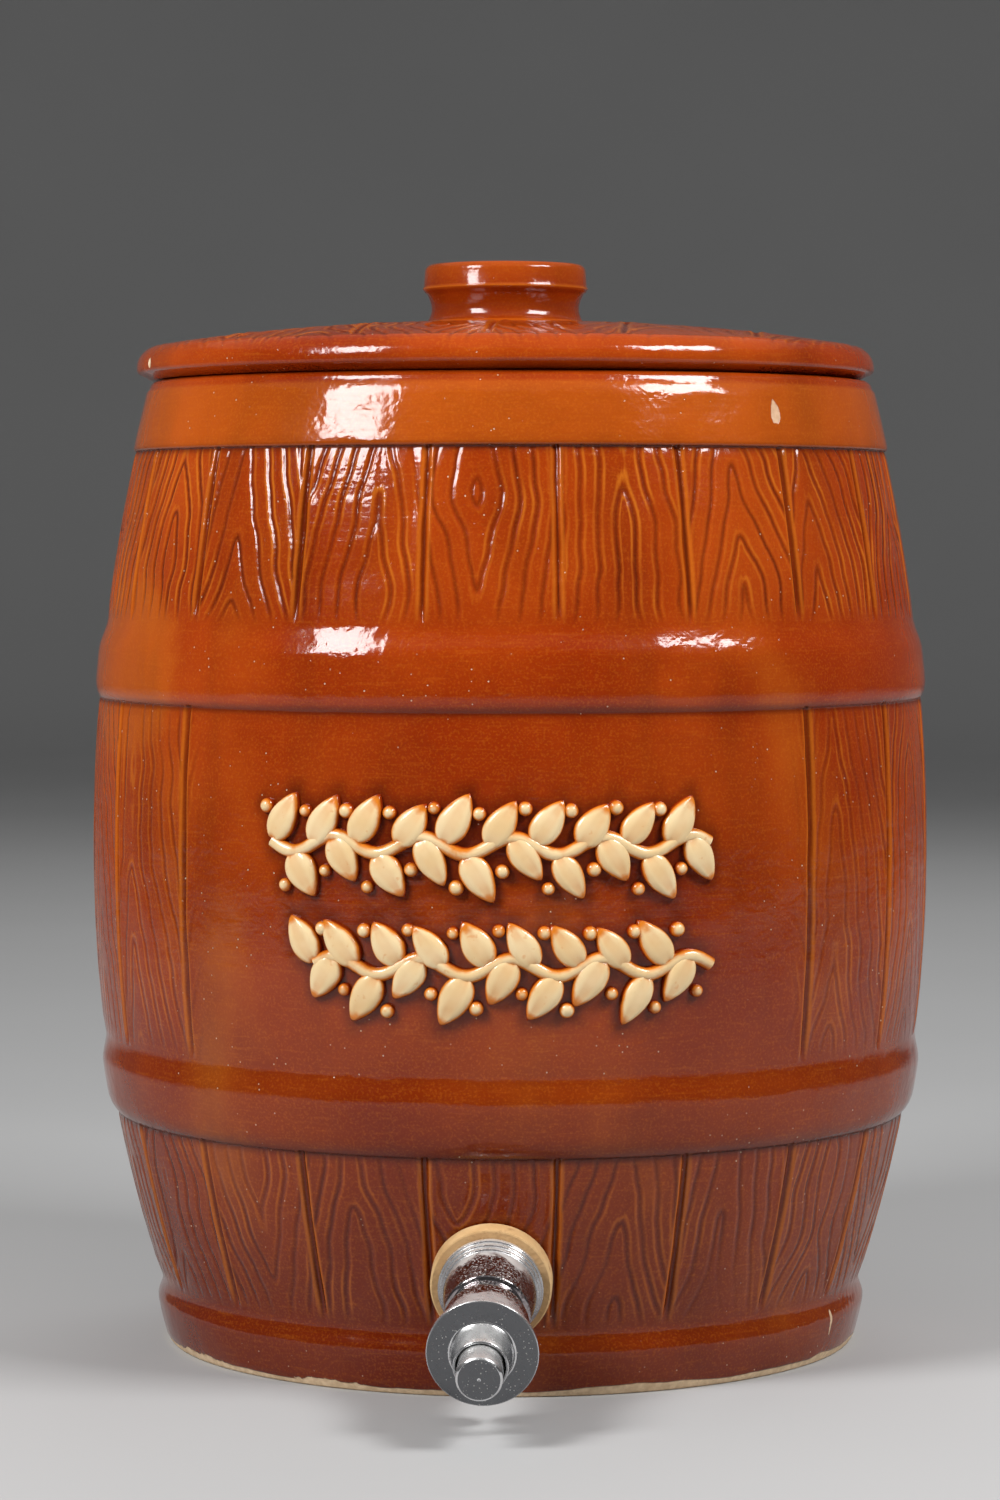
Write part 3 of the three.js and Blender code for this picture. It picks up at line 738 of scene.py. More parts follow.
# The ornament on the front: two rows of leaves and berries on a wavy stem, moulded with the jar
# and brushed with cream slip under clear glaze. Brown glaze runs over their feet and into veins.
leaf_length = 0.0152
leaf_half_width = 0.0044
leaf_height = 0.0027
leaf_stations = 20
leaf_sides = 24
leaf_blunt = 0.004  # the share of a leaf's length by which each end stops short of a point
vein_width = 0.00075
vein_depth = 0.0006
wave_half = 0.0126  # half a wave of the stem, twice the leaves' spacing


def leaf_mesh():
    """One leaf on its side along +X, a swollen lens with a vein pressed into its top."""
    places, veins = [], []
    for i in range(leaf_stations + 1):
        t = min(max(i / leaf_stations, leaf_blunt), 1 - leaf_blunt)
        half = leaf_half_width * math.sin(math.pi * t ** 0.75) ** 0.72
        tall = leaf_height * math.sin(math.pi * t ** 0.8) ** 0.34
        for k in range(leaf_sides):
            a = 2 * math.pi * (k + 0.5) / leaf_sides
            c, s = math.cos(a), math.sin(a)
            y = half * math.copysign(abs(c) ** 0.72, c)
            z = tall * math.copysign(abs(s) ** 0.7, s)
            vein = math.exp(-((y / vein_width) ** 2)) * (s > 0) * min(1.0, 3.5 * (1 - t))
            places.append((leaf_length * t, y, z - vein_depth * vein))
            veins.append(vein)
    faces = bands([leaf_sides] * (leaf_stations + 1))
    faces.append(tuple(reversed(range(leaf_sides))))
    faces.append(tuple(leaf_stations * leaf_sides + k for k in range(leaf_sides)))
    mesh = smooth_mesh("leaf", places, faces)
    mesh.attributes.new("vein", "FLOAT", "POINT").data.foreach_set("value", veins)
    return mesh


def garland_tree():
    """One row of the ornament, built flat and then bent round the jar."""
    nodes, given = new_tree("leaf_garland", {
        "Geometry": "Geometry", "Leaf": "Object", "Leaves": 20.0, "Spacing": 0.0063,
        "Start": -0.06, "Height": 0.157, "Lean": 1.0, "Wave": 0.0024, "Stem": 0.0021,
        "Berry": 0.0021, "Berry side": -0.002, "Seed": 1.0, "Material": "Material",
    })

    def moved(geometry, key, place):
        return nodes.add("GeometryNodeSetPosition", {"Geometry": geometry, key: place})

    def line(count, step):
        start = nodes.vector(given["Start"], 0.0, 0.0)
        inputs = {"Count": count, "Start Location": start, "Offset": nodes.vector(step, 0.0, 0.0)}
        wave = (nodes.place.split()[0] * (math.pi / wave_half)).sine() * given["Wave"]
        points = nodes.add("GeometryNodeMeshLine", inputs)
        return moved(points, "Offset", nodes.vector(0.0, wave, 0.0))

    def chance(low, high, salt):
        inputs = {2: low, 3: high, "Seed": given["Seed"] + salt}
        return nodes.add("FunctionNodeRandomValue", inputs, 1, data_type="FLOAT")

    def on_points(points, instance, **rest):
        inputs = {"Points": points, "Instance": instance, **rest}
        return nodes.add("GeometryNodeInstanceOnPoints", inputs)

    # The stem, with six steps from leaf to leaf
    path = line(given["Leaves"] * 6.0 + 1.0, given["Spacing"] / 6.0)
    stem = nodes.rod(nodes.add("GeometryNodeMeshToCurve", {"Mesh": path}), given["Stem"], 14)
    # Leaves, one up and one down in turn
    index = nodes.add("GeometryNodeInputIndex")
    side = nodes.math("MODULO", index, 2.0) * -2.0 + 1.0
    points = line(given["Leaves"], given["Spacing"])
    lean = side * (given["Lean"] + chance(-0.09, 0.09, 0.0))
    leaf = nodes.add("GeometryNodeObjectInfo", {"Object": given["Leaf"]}, "Geometry")
    scale = nodes.vector(chance(0.93, 1.07, 1.0), chance(0.92, 1.1, 2.0), 1.0)
    leaves = on_points(points, leaf, Rotation=nodes.vector(0.0, 0.0, lean), Scale=scale)
    # Berries, tucked beside the leaf tips
    aside = nodes.vector(given["Berry side"], side * chance(0.0088, 0.0102, 3.0), 0.0)
    ball = {"Segments": 20, "Rings": 12, "Radius": given["Berry"]}
    ball = nodes.add("GeometryNodeMeshUVSphere", ball)
    berries = on_points(moved(points, "Offset", aside), ball, Scale=chance(0.9, 1.1, 4.0))
    flat = nodes.join(berries, leaves, stem)
    flat = nodes.add("GeometryNodeRealizeInstances", {"Geometry": flat})
    x, y, z = nodes.place.split()
    inputs = {"Geometry": flat, "Name": "rise", "Value": z / leaf_height}
    flat = nodes.add("GeometryNodeStoreNamedAttribute", inputs, data_type="FLOAT", domain="POINT")
    # Bent round the jar, whose radius follows the stave curve
    level = y + given["Height"]
    up = ((level - belly_height) / (jar_height - belly_height)).at_least(0.0).power(rim_power)
    down = ((belly_height - level) / belly_height).at_least(0.0).power(heel_power)
    radius = up * (rim_radius - belly_radius) + belly_radius
    radius = radius + down * (heel_radius - belly_radius) + z
    turn = x / belly_radius
    bent = nodes.vector(radius * turn.sine(), radius * (turn.cosine() * -1.0), level)
    both = nodes.join(moved(flat, "Position", bent), given["Geometry"])
    both = nodes.add("GeometryNodeSetShadeSmooth", {"Geometry": both})
    return nodes.give(both, given["Material"])


cream_slip, nodes = new_material("cream_slip")
colour = nodes.mix(nodes.noise(70.0, 3.0).ease(0.3, 0.7), (0.86, 0.66, 0.38), (0.80, 0.56, 0.28))
rise = (nodes.noise(170.0, 3.0) - 0.5) * 0.55 + nodes.mark("rise")
vein = nodes.mark("vein") * nodes.noise(120.0).ease(0.35, 0.6, 0.35, 0.9)
colour = nodes.mix(rise.ease(0.52, 0.78, 1.0, 0.0).at_least(vein), colour, thin_glaze)
colour = nodes.mix(rise.ease(0.2, 0.55, 1.0, 0.0), colour, brown_glaze)
colour = nodes.mix(nodes.noise(420.0).ease(0.66, 0.76) * 0.35, colour, thin_glaze)
roughness = nodes.noise(90.0).ease(0.3, 0.7, 0.12, 0.26)
nodes.surface(colour, roughness, nodes.noise(260.0, 3.0) * 0.00012, IOR=1.5)

leaf = put("leaf", leaf_mesh())
garland = put("garland", bpy.data.meshes.new("garland"))
keys = ("Leaves", "Start", "Height", "Lean", "Berry side", "Seed")
rows = [(20.0, -0.0635, 0.1570, 1.0, -0.0022, 3.0), (18.0, -0.0500, 0.1235, 2.14, 0.0022, 8.0)]
leaf_row = garland_tree()
for row in rows:
    given = {**dict(zip(keys, row)), "Leaf": leaf, "Material": cream_slip}
    add_tree(garland, leaf_row, given)
bake(garland)
bpy.data.objects.remove(leaf)
fit(garland, "jar", None)

# The glaze pools round the raised leaves, and the jar's surface is marked dark close to them:
# pooled glaze with a painted shadow round the relief. The leaves reach over a part of the front,
# and the inside of the wall is left out.
halo_width = 0.0023
halo_depth = 0.9
halo_front = -0.09
halo_low, halo_high = 0.1, 0.18
halo_inside = 0.12
leaf_points = KDTree(len(garland.data.vertices))
for i, vertex in enumerate(garland.data.vertices):
    leaf_points.insert(vertex.co, i)
leaf_points.balance()
pool = jar.data.attributes["pool"].data
for i, vertex in enumerate(jar.data.vertices):
    x, y, z = vertex.co
    if y < halo_front and halo_low < z < halo_high and math.hypot(x, y) > halo_inside:
        gap = leaf_points.find(vertex.co)[2]
        pool[i].value = max(pool[i].value, halo_depth * math.exp(-((gap / halo_width) ** 2)))
fit(jar, "jar", "barrel")

# The lid: stoneware from its own mould, glazed like the jar. It sits loose on the rim, held by
# the ring under it, and carries a turned knob with the mould's seam round it.
lid_overhang = 0.0022
lid_play = 0.002
lid_offset = 0.8 * lid_play  # pushed towards -X, as in the photograph
lid_ring_width = 0.007
lid_ring_depth = 0.009
lid_ring_round = 0.001
lid_root_round = 0.0004
lid_edge_lift = 0.0017
lid_edge_height = 0.0084
lid_lower_round = 0.0015
lid_upper_round = 0.0064
lid_crown = 0.0072
lid_thickness = 0.0085
dome_power = 2.4
dome_step = 0.0018
inner_dome_radius = 0.054
inner_dome_step = 0.002
grain_fade = 0.0058  # the grain dies away over this much of the lid's edge
knob_radius = 0.0245
knob_height = 0.0185
knob_waist = 0.0021
knob_round = 0.0022
knob_sink = 0.0005  # how much lower the knob's top is at its edge
knob_fillet = ((0.0022, 0.0001), (0.0010, 0.0003), (0.0002, 0.0008))  # outwards, upwards
bead_height = 0.58 * knob_height
bead = ((-0.0002, -0.0010, 0.0), (0.0002, -0.0003, 0.2), (0.0004, 0.0, 0.5),
        (0.0002, 0.0004, 0.2), (0.0, 0.0009, 0.0))  # outwards, upwards, how thin the glaze is
lid_columns = 576
lid_board = 0.0375
lid_row = 80.0


def lid_rings():
    full, half, quarter = lid_columns, lid_columns // 2, lid_columns // 4
    seat = jar_height + seat_gap
    rim = rim_radius + top_band_proud
    edge = rim + lid_overhang
    edge_low = seat + lid_edge_lift
    edge_top = edge_low + lid_edge_height
    dome_edge = edge - lid_upper_round
    outer = rim - rim_width - lid_play
    inner = outer - lid_ring_width

    def dome(r):
        return edge_top + lid_crown * (1 - (r / dome_edge) ** dome_power)

    fan = ((0, 1), (0.2, quarter // 2), (0.4, quarter // 2), (0.6, quarter), (0.78, quarter),
           (0.93, half))
    rings = [ring(inner * share, dome(inner * share) - lid_thickness, n) for share, n in fan]
    small = lid_ring_round
    low = seat - lid_ring_depth + small
    rings.append(ring(inner - small, seat + small, full))
    rings += [ring(inner, z, full) for z in (seat - small, low)]
    rings += arc_rings((inner + small, low), small, 210, 270, 2, full)
    rings += arc_rings((outer - small, low), small, 270, 360, 3, full)
    rings.append(ring(outer, seat - lid_root_round, full))
    rings += [ring(r, seat, full) for r in (outer + lid_root_round, rim - rim_round)]
    lower = (edge - lid_lower_round, edge_low + lid_lower_round)
    rings += arc_rings(lower, lid_lower_round, -90, 0, 4, full)
    for r, z in arc_points((dome_edge, edge_top - lid_upper_round), lid_upper_round, 6, 90, 9):
        grain = 0.8 * max(0.0, 1 - (r - dome_edge) / grain_fade)
        rings.append(ring(r, z, full, grain=grain, row=lid_row))
    outside = np.arange(dome_edge - dome_step, inner_dome_radius + inner_dome_step, -dome_step)
    inside = np.arange(inner_dome_radius, knob_radius + 0.0028, -inner_dome_step)
    for radii, columns in ((outside, full), (inside, half)):
        rings += [ring(r, dome(r), columns, grain=1.0, joint=1.0, row=lid_row) for r in radii]
    base = dome(knob_radius)
    top = base + knob_height
    for out, up in knob_fillet:
        rings.append(ring(knob_radius + out, base + up, half, thin=0.2, row=lid_row))
    # The waist is darkened by the pool mark: pooled glaze and painted shade
    for share in np.linspace(0.06, 0.5, 9):
        draw = math.sin(math.pi * (share / 0.56) ** 0.9) ** 0.9
        radius = knob_radius - 0.0002 - knob_waist * draw
        rings.append(ring(radius, base + share * knob_height, half, pool=0.25 + 0.4 * draw))
    for out, up, thin in bead:
        z = base + bead_height + up
        rings.append(ring(knob_radius + out, z, half, thin=thin, pool=0.4 - 0.6 * thin))
    shoulder = (knob_radius - knob_round - 0.0003, top - knob_round - knob_sink)
    rings += arc_rings(shoulder, knob_round, 0, 78, 6, half, thin=0.1, pool=0.2)
    fan = ((0.8, half), (0.6, quarter), (0.35, quarter // 2), (0.15, quarter // 4), (0, 1))
    return rings + [ring(knob_radius * share, top - knob_sink * share ** 2, n) for share, n in fan]


def lid_boards(nodes):
    """The lid's boards run from front to back, side by side."""
    x, y, z = nodes.place.split()
    x = x + (lid_offset + lid_board / 2)
    board = nodes.math("FLOOR", x * (1 / lid_board) + 0.5)
    across = x - board * lid_board
    return across, y + 0.15, board + nodes.mark("row"), lid_board / 2 - abs(across)


lid = loft("lid_with_knob", lid_rings())
lid.data.transform(Matrix.Translation((-lid_offset, 0, 0)))
lid_chips = [((-0.1035, -0.0417, 0.2925), (0.0017, 0.0017, 0.0017), 1.0)]
lid_glaze = glaze_material("lid_glaze", lid_boards, lid_chips)
lid_wood = {"Material": lid_glaze, "Line depth": 0.00035, "Joint depth": 0.0006}
add_tree(lid, wood_tree("moulded_boards", lid_boards), lid_wood)
bake(lid)
fit(lid, "lid", "lid")

# The washers: a thick tan fibre one outside, cut square in front and bedded to the jar behind,
# and a black rubber one inside. The lock nut draws both against the wall.
outer_washer_radius = 0.017
inner_washer_radius = 0.014
inner_washer_thickness = 0.0045


def jar_outside(height):
    return band_radius(height) if height < base_band_width else float(stave_radius(height))


def jar_inside(height):
    if height >= cove_top:
        return float(stave_radius(height)) - wall
    return cove_centre + math.sqrt(max(cove_radius ** 2 - (cove_top - height) ** 2, 0))


def depth_to(surface, gap, x, y):
    """How far behind the flange a line along the tap's axis meets the jar's surface."""
    near, far = -0.005, 0.035
    for _ in range(40):
        depth = (near + far) / 2
        place = tap_place @ Vector((x, y, -depth))
        if math.hypot(place.x, place.y) > surface(place.z) + gap:
            near = depth
        else:
            far = depth
    return near


def bedded(surface, gap, front):
    """Bends the far face of a washer, at share 0, to the jar, and leaves share 1 flat in front."""
    def bend(x, y, share):
        bed = -depth_to(surface, gap, x, y)
        return x, y, bed + (front - bed) * (share * 1000)
    return bend


# Tan vulcanised fibre, matt, fuzzy and darker where it was wet; its front face darker with dirt and
# a painted shade under the flange
tan_fibre, nodes = new_material("tan_fibre")
colour = nodes.mix(nodes.noise(130.0, 5.0).ease(0.3, 0.7), (0.70, 0.46, 0.22), (0.58, 0.35, 0.15))
stain = nodes.noise(320.0, 4.0).ease(0.58, 0.74)
normal = nodes.add("ShaderNodeNewGeometry", output="True Normal")
# Painted shade with handling dirt: the face towards the flange is darkened
face = nodes.vector_math("DOT_PRODUCT", normal, tuple(tap_axis)).ease(0.8, 0.95, 0.0, 0.42)
colour = nodes.mix((stain * 0.6).at_least(face), colour, (0.27, 0.13, 0.05))
nodes.surface(colour, 0.82, nodes.noise(900.0, 4.0) * 0.0003)

# Black rubber with a dusty bloom
black_rubber, nodes = new_material("black_rubber")
bloom = nodes.noise(200.0, 4.0).ease(0.4, 0.75)
colour = nodes.mix(bloom, (0.018, 0.017, 0.016), (0.06, 0.057, 0.052))
roughness = nodes.noise(90.0).ease(0.3, 0.7, 0.5, 0.75)
nodes.surface(colour, roughness, nodes.noise(1200.0) * 0.00008)

shank_hole = 1000 * (shank_radius + seat_gap)
edge = 1000 * outer_washer_radius
outer_line = [
    (shank_hole, 0), (11.5, 0), (14.5, 0), (edge - 0.5, 0), (edge - 0.1, 0.05), (edge, 0.14),
    (edge, 0.5), (edge, 0.86), (edge - 0.12, 0.95), (edge - 0.55, 1), (shank_hole, 1),
    (shank_hole, 0),
]
outer_bed = bedded(jar_outside, seat_gap, -seat_gap)
outer_washer = turned("fibre_washer", outer_line, 96, bend=outer_bed)
fit(outer_washer, "jar", "outer_washer", tan_fibre)

edge = 1000 * inner_washer_radius
inner_start = -depth_to(jar_inside, 0, 0, 0) - inner_washer_thickness
inner_line = [(shank_hole, 1), (edge - 0.5, 1), (edge, 0.9), (edge, 0.1), (edge - 0.5, 0), (11, 0),
              (shank_hole, 0), (shank_hole, 1)]
inner_bed = bedded(jar_inside, -seat_gap, inner_start)
inner_washer = turned("rubber_washer", inner_line, 96, bend=inner_bed)
fit(inner_washer, "jar", "inner_washer", black_rubber)

# The tap's body: cast brass, turned, drilled and chromed. Stepped flange, flared bell, bead, neck
# and collar on one axis, a short spout under the collar, and a threaded shank through the wall.
# Profiles are in millimetres, with heights along the tap's axis from the back of its flange.
gap_mm = 0.3
shank_mm = 1000 * shank_radius
shank_bore = 7
stem_bore = 4.25
seat_face = -2
seat_inset = 2
collar_start = 27
collar_radius = 12
body_end = 38
chamber_radius = 8
shank_washer_thickness = 1.6
lock_nut_height = 8
washer_start = 1000 * inner_start - gap_mm - shank_washer_thickness
nut_start = washer_start - gap_mm - lock_nut_height
shank_end = nut_start - 4
thread_start = -12
thread_pitch = 1.4
thread_depth = 0.55
spout_bore = 4.7


def rounded(profile, radius, steps=3):
    """The same profile with each of its corners eased by a small round."""
    line = [profile[0]]
    for before, corner, after in zip(profile, profile[1:], profile[2:]):
        b, c, a = Vector(before), Vector(corner), Vector(after)
        start = c + (b - c).normalized() * min(radius, (b - c).length * 0.45)
        end = c + (a - c).normalized() * min(radius, (a - c).length * 0.45)
        for i in range(steps + 1):
            t = i / steps
            line.append(tuple(start * (1 - t) ** 2 + c * (2 * t * (1 - t)) + end * t * t))
    return [*line, profile[-1]]


def chrome_material(name, dull):
    """Chrome plate, ringed by the lathe: a stained bell partly darkened by painted reflection, lime
    specks with painted highlights on top, and duller end faces painted dark as a painted
    reflection.
    """
    material, nodes = new_material(name)
    noise, mix = nodes.noise, nodes.mix
    offset = nodes.vector_math("SUBTRACT", nodes.place, tuple(tap_origin))
    along = nodes.vector_math("DOT_PRODUCT", offset, tuple(tap_axis))
    length = nodes.vector_math("LENGTH", offset)
    radius = (length * length - along * along).at_least(0.0).root()
    flat_normal = nodes.add("ShaderNodeNewGeometry", output="True Normal")
    facing = nodes.vector_math("DOT_PRODUCT", flat_normal, tuple(tap_axis)).ease(0.96, 0.99)
    upward = nodes.add("ShaderNodeNewGeometry", output="Normal").split()[2].ease(0.15, 0.95)
    # Stain on the bell, and lime with painted highlights on what looks up: flecks on the bell, and
    # more of it elsewhere
    ragged = along + noise(420.0, 4.0) * 0.007
    on_bell = along.ease(0.0045, 0.007) * ragged.ease(0.0335, 0.0360, 1.0, 0.0)
    stain = noise(1500.0, 3.0).ease(0.5, 0.64) * noise(160.0, 3.0).ease(0.36, 0.6)
    stain = stain * (facing * -0.6 + 1.0) * (on_bell * 0.8 + 0.2)
    # Painted highlights: the bell whitens towards its start at its left and right
    aside = abs(nodes.place.split()[0]).ease(0.0025, 0.0060, 0.0, -0.0024)
    flecks = noise(1700.0, 3.0).ease(0.52, 0.66, 0.0, 0.7)
    flecks = flecks.at_least((ragged + aside).ease(0.0088, 0.0116, 0.85, 0.0))
    # Painted highlight: what looks up is whitened, partly as lime flecks
    lime_and_highlight = upward * (flecks * on_bell + 0.52 * (1.0 - on_bell))
    cells = nodes.add("ShaderNodeTexVoronoi", {"Vector": nodes.place, "Scale": 1100.0})
    dust = cells.ease(0.1, 0.2, 1.0, 0.0) * noise(210.0).ease(0.42, 0.54)
    colour = mix(noise(90.0, 3.0), (0.70, 0.70, 0.71), (0.78, 0.78, 0.79))
    # The bell darkened brown-purple: partly stain, partly a painted dark reflection
    colour = mix(on_bell * 0.72, colour, (0.20, 0.155, 0.165))
    # Painted reflection: the faces across the axis are darkened as though mirroring dark
    # surroundings
    colour = mix(facing * 0.86, colour, (0.060, 0.064, 0.072))
    colour = mix(stain * 0.75, colour, (0.11, 0.065, 0.055))
    colour = mix(lime_and_highlight, colour, (0.84, 0.83, 0.80))
    colour = mix(dust * 0.8, colour, (0.85, 0.84, 0.80))
    rings = noise(1.0, 1.0, place=nodes.vector(radius * 5200.0, along * 2600.0, 0.0))
    roughness = noise(300.0, 5.0).ease(0.35, 0.7, 0.06, 0.24) + facing * dull
    roughness = roughness + stain.at_least(dust) * 0.4 + lime_and_highlight * 0.3
    height = rings * 0.000006 + stain * 0.00003
    nodes.surface(colour, roughness, height, Metallic=lime_and_highlight * -0.7 + 1.0)
    return material


def threaded(x, y, z):
    """Cuts a screw thread into the end of the shank."""
    r = math.hypot(x, y)
    if abs(r - shank_radius) > 0.00001 or z > (thread_start - 0.2) / 1000:
        return x, y, z
    wave = abs(((z * 1000 / thread_pitch - math.atan2(y, x) / (2 * math.pi)) % 1) * 2 - 1)
    cut = (r - thread_depth / 1000 * wave) / r
    return x * cut, y * cut, z


thread = [(shank_mm, z) for z in np.arange(shank_end + 0.8, thread_start, thread_pitch / 6)]
flange = [(14.75, 0), (14.75, 1.667), (14.2, 1.667), (14.2, 3.333), (13.65, 3.333), (13.65, 5)]
bell = [(13.1 - 2.1 * t ** 1.25, 5 + 13 * t) for t in np.linspace(0, 1, 10)]
shoulder = [(10.5 + 1.5 * math.sin(math.pi / 2 * t) ** 1.2, 23 + 4 * t)
            for t in np.linspace(0.15, 1, 6)]
outline = [(shank_mm, 0), *flange, *bell, *arc_points((10.9, 19), 1.05, -75, 75, 8), (10.5, 20.3),
           (10.4, 21.6), *shoulder, (collar_radius, body_end)]
body_line = [(0, shank_end), (shank_mm - 0.6, shank_end), (shank_mm, shank_end + 0.6), *thread,
             *rounded(outline, 0.3), (0, body_end)]
spout_line = [(0, 0), (6.4, 0), (6.4, 14.2), (5.95, 19.2), (5.6, 19.5), (0, 19.5)]
chrome = chrome_material("chrome_plate", 0.12)
tap_body = turned("spigot_body", body_line, 96, bend=threaded)
collar = Matrix.Translation((0, 0, collar_start / 1000))
down = tap_place @ collar @ Matrix.Rotation(math.pi / 2, 4, "X")
combine(tap_body, [
    ("UNION", turned("spout", spout_line, 64, down)),
    ("DIFFERENCE", bar(shank_bore, shank_end - 5, seat_face)),
    ("DIFFERENCE", bar(stem_bore, -20, 20)),
    ("DIFFERENCE", bar(chamber_radius, seat_inset, body_end + 5)),
    ("DIFFERENCE", bar(spout_bore, 0, 30, down)),
], 34)
fit(tap_body, "jar", "tap_body", chrome)

# The bonnet: a second chromed turning that screws into the body on a thin fibre ring. Its broad
# plate takes the fingers, and the boss in the middle guides the button.
bonnet_start = 39.4
plate_start = 43.8
boss_start = 45.6
bonnet_end = 54.6
spring_floor = 41.5
packing_end = 38.5
packing_start = 35.6
packing_nut_start = 33.1
bonnet_line = [
    (5.2, packing_nut_start), (7.7, packing_nut_start), (7.7, bonnet_start), (12, bonnet_start),
    (12, plate_start), (15.2, plate_start), (15.2, boss_start), (9.1, boss_start), (8.6, 46.1),
    (8.4, 47.4), (8.25, 49), (7.8, 52), (7.45, bonnet_end), (6.75, bonnet_end),
    (6.75, spring_floor), (2.8, spring_floor), (2.8, packing_end), (5.2, packing_end),
    (5.2, packing_nut_start),
]
tap_bonnet = turned("spigot_bonnet", rounded(bonnet_line, 0.35), 112)
fit(tap_bonnet, "jar", "tap_bonnet", chrome)
gasket_line = [(8, 38.3), (11.6, 38.3), (11.7, 38.5), (11.7, 38.9), (11.6, 39.1), (8, 39.1),
               (8, 38.3)]
bonnet_gasket = turned("fibre_ring", gasket_line, 64)
fit(bonnet_gasket, "jar", "bonnet_gasket", tan_fibre)

# The button: a chromed cap screwed on the stem, with the lathe's centre mark left in its face. It
# slides in the boss and is pressed in by the glass or the thumb.
button_line = [
    (0, 60.3), (2.8, 60.3), (2.8, 51.8), (3.9, 51.8), (3.9, 60.3), (5.6, 60.3), (5.6, 48.6),
    (6.3, 48.6), (6.3, 62.3), (5.75, 62.9), (0.6, 62.84), (0.42, 62.8), (0, 62.55),
]
push_button = turned("button_cap", rounded(button_line, 0.2), 96)
button_chrome = chrome_material("button_chrome", 0.16)
fit(push_button, "plunger", "push_button", button_chrome)

# The valve train: a turned brass stem carries the button at one end, and at the other a brass cup
# with a rubber disc that closes on the seat inside the shank, held by a small hexagon nut. The
# brass is turned, and dull and brown with use.
brass, nodes = new_material("dull_brass")
tarnish = nodes.noise(180.0, 4.0).ease(0.38, 0.7)
colour = nodes.mix(tarnish, (0.62, 0.42, 0.16), (0.30, 0.17, 0.07))
roughness = nodes.noise(400.0, 3.0).ease(0.3, 0.7, 0.24, 0.46)
nodes.surface(colour, roughness, nodes.noise(1400.0) * 0.00002, Metallic=1.0)


def hex_nut(name, flats, hole, low, height):
    """A hexagon nut with its corners turned off at both faces."""
    high = low + height
    corner = flats / math.sqrt(3)
    bevel = (corner - flats / 2) * math.tan(math.pi / 6)
    inside, outside = flats / 2 - 0.2, flats / 2 + 0.1
    blank = [(hole + 0.4, low), (inside, low), (outside, low + 0.1), (corner, low + bevel),
             (corner, high - bevel), (outside, high - 0.1), (inside, high), (hole + 0.4, high),
             (hole, high - 0.4), (hole, low + 0.4), (hole + 0.4, low)]
    nut = turned(name, blank, 96)
    ends = [(0, low - 1), (corner, low - 1), (corner, high + 1), (0, high + 1)]
    combine(nut, [("INTERSECT", turned("prism", ends, 6))], 25)
    return nut


def sleeve(name, hole, radius, low, high, corner, sides):
    """A plain ring on the tap's axis with eased corners."""
    line = [(hole, low), (radius, low), (radius, high), (hole, high), (hole, low)]
    return turned(name, rounded(line, corner), sides)


stem_hole = 2.8
stem_radius = 2.5
stem_end = 60
valve_washer_start = seat_face - gap_mm - 3
valve_cup_start = valve_washer_start - gap_mm - 1.6
valve_nut_start = valve_cup_start - gap_mm - 4
stem_start = valve_nut_start - 1
stem_line = [
    (0, stem_start), (stem_radius - 0.4, stem_start), (stem_radius, stem_start + 0.4),
    (stem_radius, 50), (stem_radius, stem_end - 0.4), (stem_radius - 0.4, stem_end), (0, stem_end),
]
fit(turned("stem_rod", stem_line, 48), "plunger", "valve_stem", brass)
cup_floor = valve_cup_start + 1.6
cup_top = cup_floor + 1.6
cup_line = [
    (stem_hole, valve_cup_start), (6.3, valve_cup_start), (6.3, cup_top), (5.7, cup_top),
    (5.7, cup_floor), (stem_hole, cup_floor), (stem_hole, valve_cup_start),
]
valve_cup = turned("disc_cup", rounded(cup_line, 0.2), 64)
fit(valve_cup, "plunger", "valve_cup", brass)
seat = seat_face - gap_mm
valve_washer = sleeve("rubber_disc", stem_hole, 5.4, valve_washer_start, seat, 0.3, 64)
fit(valve_washer, "plunger", "valve_washer", black_rubber)
valve_nut = hex_nut("stem_nut", 8, stem_hole, valve_nut_start, 4)
fit(valve_nut, "plunger", "valve_nut", brass)

# The stem's seal: a rubber ring pressed round the stem in the bonnet by a small brass ring nut.
# Both lie in the bonnet's own bore and stay with the tap.
seal_radius = 4.9
packing_low, packing_high = packing_start + gap_mm, packing_end - gap_mm
stem_packing = sleeve("packing_ring", stem_hole, seal_radius, packing_low, packing_high, 0.4, 48)
fit(stem_packing, "jar", "stem_packing", black_rubber)
nut_low, nut_high = packing_nut_start, packing_start - gap_mm
packing_nut = sleeve("ring_nut", stem_hole, seal_radius, nut_low, nut_high, 0.25, 48)
fit(packing_nut, "jar", "packing_nut", brass)
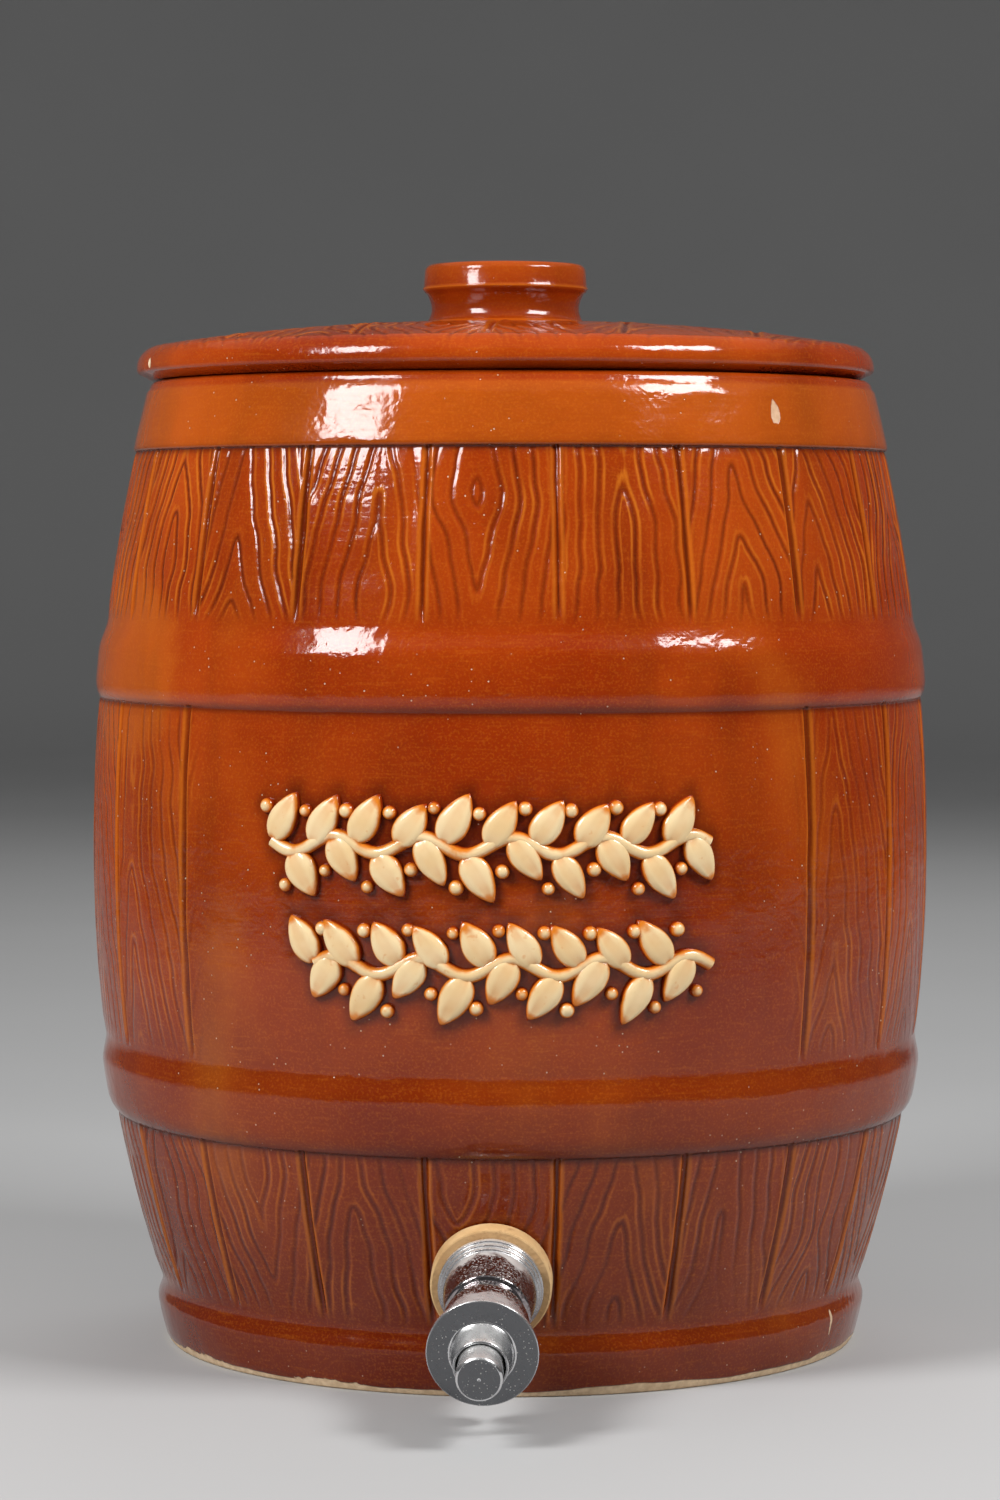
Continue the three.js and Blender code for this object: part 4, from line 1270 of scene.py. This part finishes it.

# The spring: eight turns of stainless wire between the bonnet's floor and the button. It pushes
# the button out again.
wire_mm = 0.4
spring_low = (spring_floor + gap_mm + wire_mm) / 1000
spring_top = 0.0600


def spring_tree():
    nodes, given = new_tree("coiled_wire", {
        "Turns": 8.0, "Coil radius": 0.00475, "Wire": wire_mm / 1000, "Length": 0.0174,
        "Material": "Material",
    })
    radius = given["Coil radius"]
    coil = nodes.add("GeometryNodeCurveSpiral", {
        "Resolution": 40, "Rotations": given["Turns"], "Start Radius": radius,
        "End Radius": radius, "Height": given["Length"],
    })
    wire = nodes.rod(coil, given["Wire"], 12)
    wire = nodes.add("GeometryNodeSetShadeSmooth", {"Geometry": wire})
    return nodes.give(wire, given["Material"])


def steel_material(name, colour, roughness):
    material, nodes = new_material(name)
    dull = nodes.noise(300.0, 4.0).ease(0.35, 0.7)
    shade = nodes.mix(dull, colour, tuple(0.6 * c for c in colour))
    height = nodes.noise(1800.0) * 0.000015
    nodes.surface(shade, dull * 0.2 + roughness, height, Metallic=1.0)
    return material


return_spring = put("coil_spring", bpy.data.meshes.new("coil_spring"))
spring_steel = steel_material("spring_wire", (0.55, 0.55, 0.56), 0.22)
spring_length = spring_top - wire_mm / 1000 - spring_low
add_tree(return_spring, spring_tree(), {"Length": spring_length, "Material": spring_steel})
bake(return_spring)
return_spring.data.transform(tap_place @ Matrix.Translation((0, 0, spring_low)))
fit(return_spring, "jar", "return_spring")
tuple(press["axis"])
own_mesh(return_spring)

# Inside the jar: a flat steel washer and a chromed lock nut on the shank's thread clamp the tap
# to the wall.
washer_end = washer_start + shank_washer_thickness
washer_steel = steel_material("washer_steel", (0.50, 0.50, 0.49), 0.3)
shank_washer = sleeve("steel_washer", shank_hole, 13.2, washer_start, washer_end, 0.3, 80)
fit(shank_washer, "jar", "shank_washer", washer_steel)
lock_nut = hex_nut("shank_nut", 24, shank_hole, nut_start, lock_nut_height)
fit(lock_nut, "jar", "lock_nut", chrome)

size = {"cad": cad_box, "visual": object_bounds()}
size = {key: [list(map(float, corner)) for corner in box] for key, box in size.items()}
